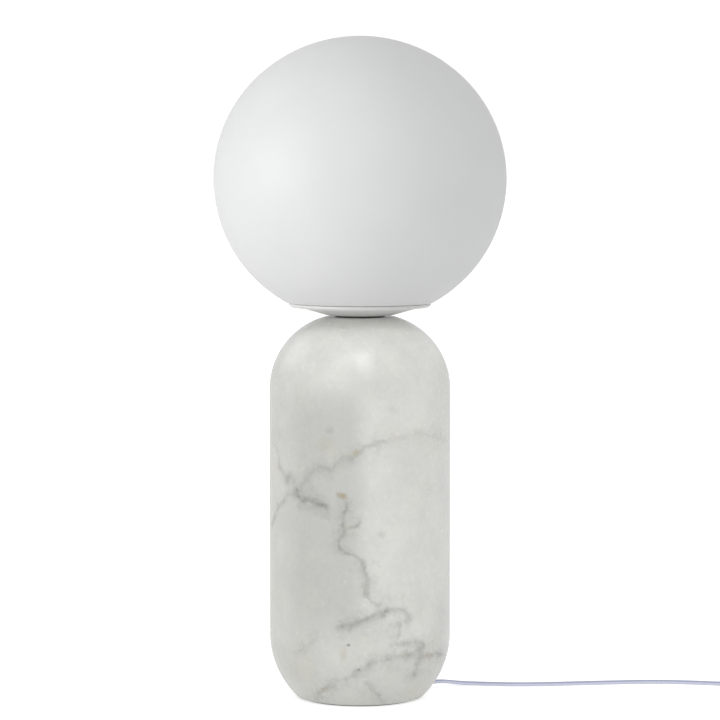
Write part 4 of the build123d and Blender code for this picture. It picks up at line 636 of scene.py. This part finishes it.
# Satin opal glass
opal = new_material(
    "opal_glass",
    (0.67, 0.675, 0.675),
    Roughness=0.46,
    IOR=1.5,
    Specular_IOR_Level=0.4,
    Subsurface_Weight=0.30,
    Subsurface_Scale=0.012,
    Subsurface_Radius=(1.0, 1.0, 1.0),
)
glass_place = place_in_mm(opal)
density = spread(opal, noise(opal, glass_place, 0.016, 3.0, 0.55), *NOISE_SPAN)
seeds = noise(opal, glass_place, 0.9, 2.0, 0.6)
milk = blend_colours(opal, density, (0.685, 0.688, 0.688), (0.660, 0.664, 0.668))
to_shader(opal, "Base Color", milk)
to_shader(opal, "Roughness", spread(opal, seeds, *NOISE_SPAN, 0.43, 0.50))
add_bump(opal, noise(opal, glass_place, 2.6, 3.0, 0.6), 0.004, 0.3)
paint(opal, "glass_globe")

# White satin powder coat
coat = new_material("powder_coat", (0.66, 0.66, 0.65), Roughness=0.30, Specular_IOR_Level=0.5)
coat_place = place_in_mm(coat)
peel = noise(coat, coat_place, 0.09, 3.0, 0.5)
coat_colour = blend_colours(
    coat, spread(coat, peel, *NOISE_SPAN), (0.67, 0.67, 0.66), (0.64, 0.642, 0.635)
)
to_shader(coat, "Base Color", coat_colour)
to_shader(coat, "Roughness", spread(coat, peel, *NOISE_SPAN, 0.30, 0.38))
add_bump(coat, peel, 0.02, 0.2)
paint(coat, "dish")


def plated(name, bright, dull, low_roughness, high_roughness):
    """A plated or rolled metal with cloudy brightness and fine scratches."""
    made = new_material(name, bright, Metallic=1.0)
    place = place_in_mm(made)
    cloud = noise(made, place, 0.25, 4.0, 0.6)
    stretched = add(made, "ShaderNodeMapping", {"Vector": place, "Scale": (0.3, 0.3, 6.0)}).outputs[0]
    scratch = noise(made, stretched, 0.9, 5.0, 0.7)
    to_shader(made, "Base Color", blend_colours(made, spread(made, cloud, *NOISE_SPAN), bright, dull))
    to_shader(made, "Roughness", spread(made, scratch, *NOISE_SPAN, low_roughness, high_roughness))
    add_bump(made, scratch, 0.01, 0.3)
    return made


# Name, bright and dull colour, low and high roughness, and the pieces made of it
platings = (
    ("zinc_plate", (0.60, 0.61, 0.63), (0.46, 0.47, 0.50), 0.28, 0.46,
     ("threaded_rod", "base_washer", "lock_washers", "rod_nuts", "clip_bracket", "clip_rivets",
      "clamp_screws", "switch_screws", "rocker_pin")),
    # The spacer's steel is painted nearly black: painted shade for the shadow in the gap between the
    # stone and the dish.
    ("painted_shade_steel", (0.115, 0.112, 0.105), (0.085, 0.083, 0.080), 0.45, 0.62, ("dish_spacer",)),
    ("spring_steel", (0.55, 0.56, 0.58), (0.42, 0.43, 0.46), 0.18, 0.32, ("clip_springs",)),
    ("brass", (0.72, 0.55, 0.27), (0.56, 0.42, 0.20), 0.24, 0.42,
     ("centre_contact", "socket_shell", "terminal_screws", "bulb_tip", "switch_contacts",
      "plug_pins")),
    ("nickel_plate", (0.70, 0.69, 0.66), (0.58, 0.57, 0.55), 0.16, 0.30, ("bulb_cap",)),
)
for name, bright, dull, low_roughness, high_roughness, pieces in platings:
    paint(plated(name, bright, dull, low_roughness, high_roughness), *pieces)


def moulded(name, colour, shade, low_roughness, high_roughness, skin=0.6, depth_mm=0.01, **sockets):
    """A moulding with slightly uneven colour and a fine skin."""
    made = new_material(name, colour, **sockets)
    place = place_in_mm(made)
    cloud = noise(made, place, 0.06, 3.0, 0.5)
    fine = noise(made, place, skin, 3.0, 0.6)
    to_shader(made, "Base Color", blend_colours(made, spread(made, cloud, *NOISE_SPAN), colour, shade))
    to_shader(made, "Roughness", spread(made, fine, *NOISE_SPAN, low_roughness, high_roughness))
    add_bump(made, fine, depth_mm, 0.4)
    return made


# Name, two colours, low and high roughness, and the pieces made of it
mouldings = (
    ("holder_resin", (0.78, 0.77, 0.74), (0.73, 0.72, 0.69), 0.22, 0.34,
     ("holder_cap", "holder_shell")),
    ("black_glass", (0.015, 0.015, 0.018), (0.03, 0.03, 0.035), 0.08, 0.18, ("bulb_insulator",)),
    ("bulb_white", (0.80, 0.80, 0.79), (0.76, 0.76, 0.75), 0.24, 0.34, ("bulb_housing",)),
    ("white_board", (0.76, 0.77, 0.75), (0.70, 0.71, 0.70), 0.30, 0.45, ("led_board",)),
    ("green_board", (0.03, 0.16, 0.07), (0.05, 0.22, 0.10), 0.25, 0.40, ("driver_board",)),
    ("nylon", (0.70, 0.69, 0.65), (0.64, 0.63, 0.59), 0.38, 0.52,
     ("rod_bushing", "clamp_lower", "clamp_upper")),
    ("core_sheath", (0.16, 0.07, 0.035), (0.12, 0.05, 0.028), 0.35, 0.50,
     ("holder_wires", "switch_wires")),
    ("rocker_white", (0.78, 0.78, 0.78), (0.74, 0.74, 0.745), 0.20, 0.32, ("switch_rocker",)),
    ("pin_sleeve", (0.02, 0.02, 0.022), (0.035, 0.035, 0.037), 0.30, 0.45, ("plug_sleeves",)),
)
for name, colour, shade, low_roughness, high_roughness, pieces in mouldings:
    paint(moulded(name, colour, shade, low_roughness, high_roughness), *pieces)

steatite = moulded(
    "steatite", (0.80, 0.78, 0.73), (0.70, 0.68, 0.64), 0.55, 0.75, skin=1.5, depth_mm=0.03
)
paint(steatite, "holder_insert")
bulb_opal = moulded(
    "bulb_opal",
    (0.86, 0.86, 0.84),
    (0.82, 0.82, 0.80),
    0.34,
    0.44,
    Subsurface_Weight=0.3,
    Subsurface_Scale=0.01,
    Subsurface_Radius=(1, 1, 1),
)
paint(bulb_opal, "bulb_dome")
clear_vinyl = moulded(
    "clear_vinyl", (0.55, 0.575, 0.68), (0.50, 0.53, 0.65), 0.16, 0.28, Coat_Weight=0.3
)
paint(clear_vinyl, "cord_relief", "plug_body", "switch_lower", "switch_upper")

# Felt under the base
felt = new_material(
    "felt", (0.030, 0.030, 0.033), Roughness=0.95, Sheen_Weight=0.6, Sheen_Roughness=0.5
)
felt_place = place_in_mm(felt)
fibres = noise(felt, felt_place, 1.4, 6.0, 0.75)
matted = noise(felt, felt_place, 0.12, 3.0, 0.6)
felt_colour = blend_colours(
    felt, spread(felt, fibres, *NOISE_SPAN), (0.018, 0.018, 0.020), (0.060, 0.060, 0.064)
)
felt_colour = blend_colours(
    felt, spread(felt, matted, *NOISE_SPAN, 0, 0.3), felt_colour, (0.09, 0.09, 0.095)
)
to_shader(felt, "Base Color", felt_colour)
add_bump(felt, fibres, 0.25, 0.8)
paint(felt, "foot_pad")

# Clear cord: two stranded cores seen through a clear sheath
CORE_MIDDLE = 0.30  # of a lobe's outline, from its edge
CORE_EDGE = (0.05, 0.20)
STRAND_TURNS = 5.0  # over one cord's width of length
STRAND_SLANT = 14.0
SHEATH_TONE = (0.70, 0.725, 0.86)

flex = new_material(
    "clear_flex", (0.42, 0.45, 0.62), Roughness=0.2, Coat_Weight=0.4, Coat_Roughness=0.08
)
cord_map = add(flex, "ShaderNodeUVMap", {}, uv_map="cord_map").outputs["UV"]
cord_parts = add(flex, "ShaderNodeSeparateXYZ", {0: cord_map})
run, around = cord_parts.outputs["X"], cord_parts.outputs["Y"]
lobe_turn = maths(flex, "FRACT", maths(flex, "MULTIPLY", around, 2.0))
from_edge = maths(flex, "ABSOLUTE", maths(flex, "SUBTRACT", lobe_turn, 0.5))
from_core = maths(flex, "ABSOLUTE", maths(flex, "SUBTRACT", from_edge, CORE_MIDDLE))
in_core = spread(flex, from_core, *CORE_EDGE, 1, 0, smooth=True)
along_turn = maths(flex, "MULTIPLY", run, STRAND_TURNS)
around_turn = maths(flex, "MULTIPLY", around, STRAND_SLANT)
lay_angle = maths(flex, "ADD", along_turn, around_turn)
strand = maths(flex, "SINE", maths(flex, "MULTIPLY", lay_angle, 2 * pi))
strand_tone = blend_colours(
    flex, spread(flex, strand, -1, 1), (0.31, 0.345, 0.56), (0.44, 0.475, 0.69)
)
to_shader(flex, "Base Color", blend_colours(flex, in_core, SHEATH_TONE, strand_tone))
for piece in (inner_cord, lead_cord, rest_cord):
    paint(flex, piece)

# ---------------------------------------------------------------- small pieces on the cord

ALIGNED = 0.9  # a unit direction whose part along an axis is more than this runs along it
NEAR = 0.01 * MM
SMOOTH_ANGLE = radians(35)


def start_piece(name):
    """Name the primitive just added and open it for editing with everything selected."""
    piece = bpy.context.object
    piece.name = name
    piece.data.name = name
    bpy.ops.object.mode_set(mode="EDIT")
    bpy.ops.mesh.select_all(action="SELECT")
    return piece


def choose(piece, kind, wanted):
    """Select only the parts of a kind (VERT, EDGE or FACE) for which wanted(part) is true."""
    shape = bmesh.from_edit_mesh(piece.data)
    bpy.ops.mesh.select_all(action="DESELECT")
    bpy.ops.mesh.select_mode(type=kind)
    for part in {"VERT": shape.verts, "EDGE": shape.edges, "FACE": shape.faces}[kind]:
        part.select_set(wanted(part))
    bmesh.update_edit_mesh(piece.data)


def run_of(edge):
    """Direction of an edge."""
    return (edge.verts[1].co - edge.verts[0].co).normalized()


def finish_piece():
    """Close editing of the active piece, put its place into its mesh and smooth it."""
    bpy.ops.mesh.select_all(action="SELECT")
    bpy.ops.mesh.normals_make_consistent(inside=False)
    bpy.ops.object.mode_set(mode="OBJECT")
    bpy.ops.object.transform_apply(location=True, rotation=True, scale=True)
    bpy.ops.object.shade_smooth_by_angle(angle=SMOOTH_ANGLE)


# Twist tie round the coil
TIE_ANGLE = radians(285)  # round the coil from +X
TIE_WIDTH = 3.6 * MM
TIE_THICKNESS = 0.35 * MM
TIE_CORNER = 1.5 * MM
TIE_SLACK = 0.35 * MM
TIE_TAIL = 17.0 * MM
TIE_TWIST = radians(500)
TAIL_WIDTH = 0.8 * TIE_WIDTH
TAIL_THICKNESS = 2.2 * TIE_THICKNESS
TAIL_EDGE = 0.25 * MM
TAIL_CUTS = 40
TAIL_TILT = radians(88)
TAIL_TURN = radians(38)
TAIL_OUT = 3.0 * MM  # from the loop's middle, away from the coil's centre
TAIL_ASIDE = 0.42 * TIE_TAIL
TAIL_LIFT = 2.1 * MM  # above the loop
COIL_TOP = 5.3 * MM

coil_inside = COIL_INNER_RADIUS - CORD_WIDTH / 2 - TIE_SLACK
coil_outside = COIL_RADIUS + CORD_WIDTH / 2 + TIE_SLACK
tie_middle = (coil_inside + coil_outside) / 2
tie_along = Vector((cos(TIE_ANGLE), sin(TIE_ANGLE), 0))
tie_across = Vector((-sin(TIE_ANGLE), cos(TIE_ANGLE), 0))
tie_top = COIL_TOP + TIE_THICKNESS
tie_place = Vector((COIL_CENTRE[0], COIL_CENTRE[1], tie_top / 2)) + tie_along * tie_middle

bpy.ops.object.select_all(action="DESELECT")
bpy.ops.mesh.primitive_cube_add(size=1, location=(0, 0, 0))
tie_loop = start_piece("tie_loop")
bpy.ops.transform.resize(value=(coil_outside - coil_inside, TIE_WIDTH, tie_top))
choose(tie_loop, "FACE", lambda face: abs(face.normal.y) > ALIGNED)
bpy.ops.mesh.delete(type="FACE")
choose(tie_loop, "EDGE", lambda edge: abs(run_of(edge).y) > ALIGNED)
bpy.ops.mesh.bevel(offset=TIE_CORNER, segments=6, affect="EDGES")
bpy.ops.mesh.select_all(action="SELECT")
bpy.ops.mesh.remove_doubles(threshold=NEAR)
bpy.ops.mesh.normals_make_consistent(inside=False)
bpy.ops.object.mode_set(mode="OBJECT")
walls = tie_loop.modifiers.new("band", "SOLIDIFY")
walls.thickness = TIE_THICKNESS
walls.offset = -1
bpy.ops.object.modifier_apply(modifier="band")
tie_loop.rotation_euler = (0, 0, TIE_ANGLE)
tie_loop.location = tie_place
bpy.ops.object.mode_set(mode="EDIT")
finish_piece()

bpy.ops.object.select_all(action="DESELECT")
bpy.ops.mesh.primitive_cube_add(size=1, location=(0, 0, 0))
tie_tail = start_piece("tie_tail")
bpy.ops.transform.resize(value=(TAIL_THICKNESS, TAIL_WIDTH, TIE_TAIL))
choose(tie_tail, "EDGE", lambda edge: abs(run_of(edge).z) > ALIGNED)
bpy.ops.mesh.subdivide(number_cuts=TAIL_CUTS)
choose(tie_tail, "EDGE", lambda edge: abs(run_of(edge).z) > ALIGNED)
bpy.ops.mesh.bevel(offset=TAIL_EDGE, segments=2, affect="EDGES")
bpy.ops.mesh.select_all(action="SELECT")
bpy.ops.object.mode_set(mode="OBJECT")
wound = tie_tail.modifiers.new("wound", "SIMPLE_DEFORM")
wound.deform_method = "TWIST"
wound.deform_axis = "Z"
wound.angle = TIE_TWIST
bpy.ops.object.modifier_apply(modifier="wound")
tail_up = Vector((0, 0, tie_top / 2 + TAIL_LIFT))
tie_tail.rotation_euler = (TAIL_TILT, 0, TIE_ANGLE + TAIL_TURN)
tie_tail.location = tie_place + tie_along * TAIL_OUT + tie_across * TAIL_ASIDE + tail_up
bpy.ops.object.mode_set(mode="EDIT")
finish_piece()

tie_skin = moulded(
    "tie_skin", (0.72, 0.72, 0.70), (0.66, 0.66, 0.64), 0.38, 0.55, skin=1.2, depth_mm=0.02
)
for piece in (tie_loop, tie_tail):
    paint(tie_skin, piece)
    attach(piece, "base")

# Ribs round the plug's strain relief
RIB_COUNT = 5
RIB_THICKNESS = 1.3 * MM
RIB_PROUD = 0.35 * MM
RIB_START = 2.2 * MM  # from the cord's entry
RIB_PITCH = 2.5 * MM
RIB_EDGE = 0.4 * MM
RIB_SIDES = 40
RELIEF_LENGTH = 16.0 * MM
RELIEF_SMALL = (6.4 * MM, 4.0 * MM)
RELIEF_LARGE = (10.5 * MM, 8.0 * MM)
PLUG_ENTRY = (344.0 * MM, 153.0 * MM, 7.0 * MM)

for index in range(RIB_COUNT):
    from_entry = RIB_START + index * RIB_PITCH
    share = from_entry / RELIEF_LENGTH
    wide = RELIEF_SMALL[0] + share * (RELIEF_LARGE[0] - RELIEF_SMALL[0]) + 2 * RIB_PROUD
    high = RELIEF_SMALL[1] + share * (RELIEF_LARGE[1] - RELIEF_SMALL[1]) + 2 * RIB_PROUD
    bpy.ops.object.select_all(action="DESELECT")
    bpy.ops.mesh.primitive_cylinder_add(vertices=RIB_SIDES, radius=high / 2, depth=RIB_THICKNESS)
    rib = start_piece("relief_rib_%d" % (index + 1))
    bpy.ops.transform.rotate(value=radians(90), orient_axis="Y", center_override=(0, 0, 0))
    choose(rib, "VERT", lambda point: point.co.y > NEAR)
    bpy.ops.transform.translate(value=(0, (wide - high) / 2, 0))
    choose(rib, "VERT", lambda point: point.co.y < -NEAR)
    bpy.ops.transform.translate(value=(0, -(wide - high) / 2, 0))
    choose(rib, "EDGE", lambda edge: abs(edge.verts[0].co.x - edge.verts[1].co.x) < NEAR)
    bpy.ops.mesh.bevel(offset=RIB_EDGE, segments=3, affect="EDGES")
    rib.location = (PLUG_ENTRY[0] - from_entry, PLUG_ENTRY[1], PLUG_ENTRY[2])
    finish_piece()
    paint(clear_vinyl, rib)
    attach(rib, "base")

# ---------------------------------------------------------------- table and light

WORLD_LIGHT = 0.73
BACKGROUND = 1.05  # the world as the camera sees it
TABLE_BOUNCE = 0.20
TABLE_GLOW = 0.52  # the table as the camera sees it
TABLE_SIZE = 40

bpy.ops.object.select_all(action="DESELECT")
bpy.ops.mesh.primitive_plane_add(size=TABLE_SIZE, location=(0, 0, 0))
floor = bpy.context.object
floor.name = "table_top"
table = new_material(
    "table_top",
    (0.90, 0.90, 0.90),
    Roughness=0.9,
    Specular_IOR_Level=0.1,
    Emission_Color=(1, 1, 1, 1),
)
table_place = place_in_mm(table)
table_fine = noise(table, table_place, 0.05, 3.0, 0.5)
table_colour = blend_colours(table, table_fine, (0.905, 0.905, 0.905), (0.895, 0.895, 0.895))
to_shader(table, "Base Color", table_colour)
seen = add(table, "ShaderNodeLightPath", {}).outputs["Is Camera Ray"]
to_shader(table, "Emission Strength", spread(table, seen, 0, 1, TABLE_BOUNCE, TABLE_GLOW))
paint(table, floor)

world = bpy.data.worlds.new("studio")
bpy.context.scene.world = world
world.use_nodes = True
sky = world.node_tree.nodes["Background"]
sky.inputs["Color"].default_value = (1, 1, 1, 1)
ray = world.node_tree.nodes.new("ShaderNodeLightPath")
level_of = world.node_tree.nodes.new("ShaderNodeMapRange")
level_of.inputs["To Min"].default_value = WORLD_LIGHT
level_of.inputs["To Max"].default_value = BACKGROUND
world.node_tree.links.new(ray.outputs["Is Camera Ray"], level_of.inputs["Value"])
world.node_tree.links.new(level_of.outputs["Result"], sky.inputs["Strength"])


def light_group(name, nodes):
    """A collection of CAD pieces to which lights can be linked."""
    made = bpy.data.collections.new(name)
    for node in nodes:
        made.objects.link(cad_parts[node])
    return made


def soft_light(name, place, aim, size, watts):
    """A square soft light at a place, turned towards a point."""
    bpy.ops.object.light_add(type="AREA", location=place)
    light = bpy.context.object
    light.name = name
    light.data.size = size
    light.data.energy = watts
    towards = Vector(aim) - Vector(place)
    light.rotation_euler = towards.to_track_quat("-Z", "Y").to_euler()
    return light


glass_and_dish = light_group("glass_and_dish", ("glass_globe", "dish"))
glass = light_group("glass_only", ("glass_globe",))
stone = light_group("stone_only", ("marble_base",))
stone_and_spacer = light_group("stone_and_spacer", ("marble_base", "dish_spacer"))
up_to_dish = light_group("stone_spacer_and_dish", ("marble_base", "dish_spacer", "dish"))

# Each light's name, place, aim, size and watts, then the pieces it reaches and those that can shade
# them from it, where these aren't all of them.
soft_lights = (
    ("globe_softbox", (-1.6, -0.85, 0.46), (0, 0, 0.36), 1.5, 20.5, glass_and_dish, None),
    ("globe_fill", (0.15, -1.8, 0.62), (0, 0, 0.36), 1.2, 1.3, glass, None),
    ("front_softbox", (0.25, -1.7, 1.5), (0, 0, 0.2), 0.7, 4, None, None),
    ("stone_softbox", (0.9, -1.0, 1.4), (0, 0, 0.2), 0.38, 0.5, stone, stone_and_spacer),
    ("overhead_softbox", (-0.16, -0.75, 1.5), (0, 0, 0.24), 1.0, 3.5, stone, stone_and_spacer),
    ("side_softbox", (-1.15, 0.55, 0.95), (0, 0, 0.20), 0.8, 1.7, stone, stone_and_spacer),
    ("crown_softbox", (0.12, -1.0, 1.5), (0, 0, 0.26), 0.5, 3.5, stone, up_to_dish),
)
for name, place, aim, size, watts, reached, shading in soft_lights:
    light = soft_light(name, place, aim, size, watts)
    light.light_linking.receiver_collection = reached
    light.light_linking.blocker_collection = shading

bpy.context.scene.view_settings.view_transform = "Standard"
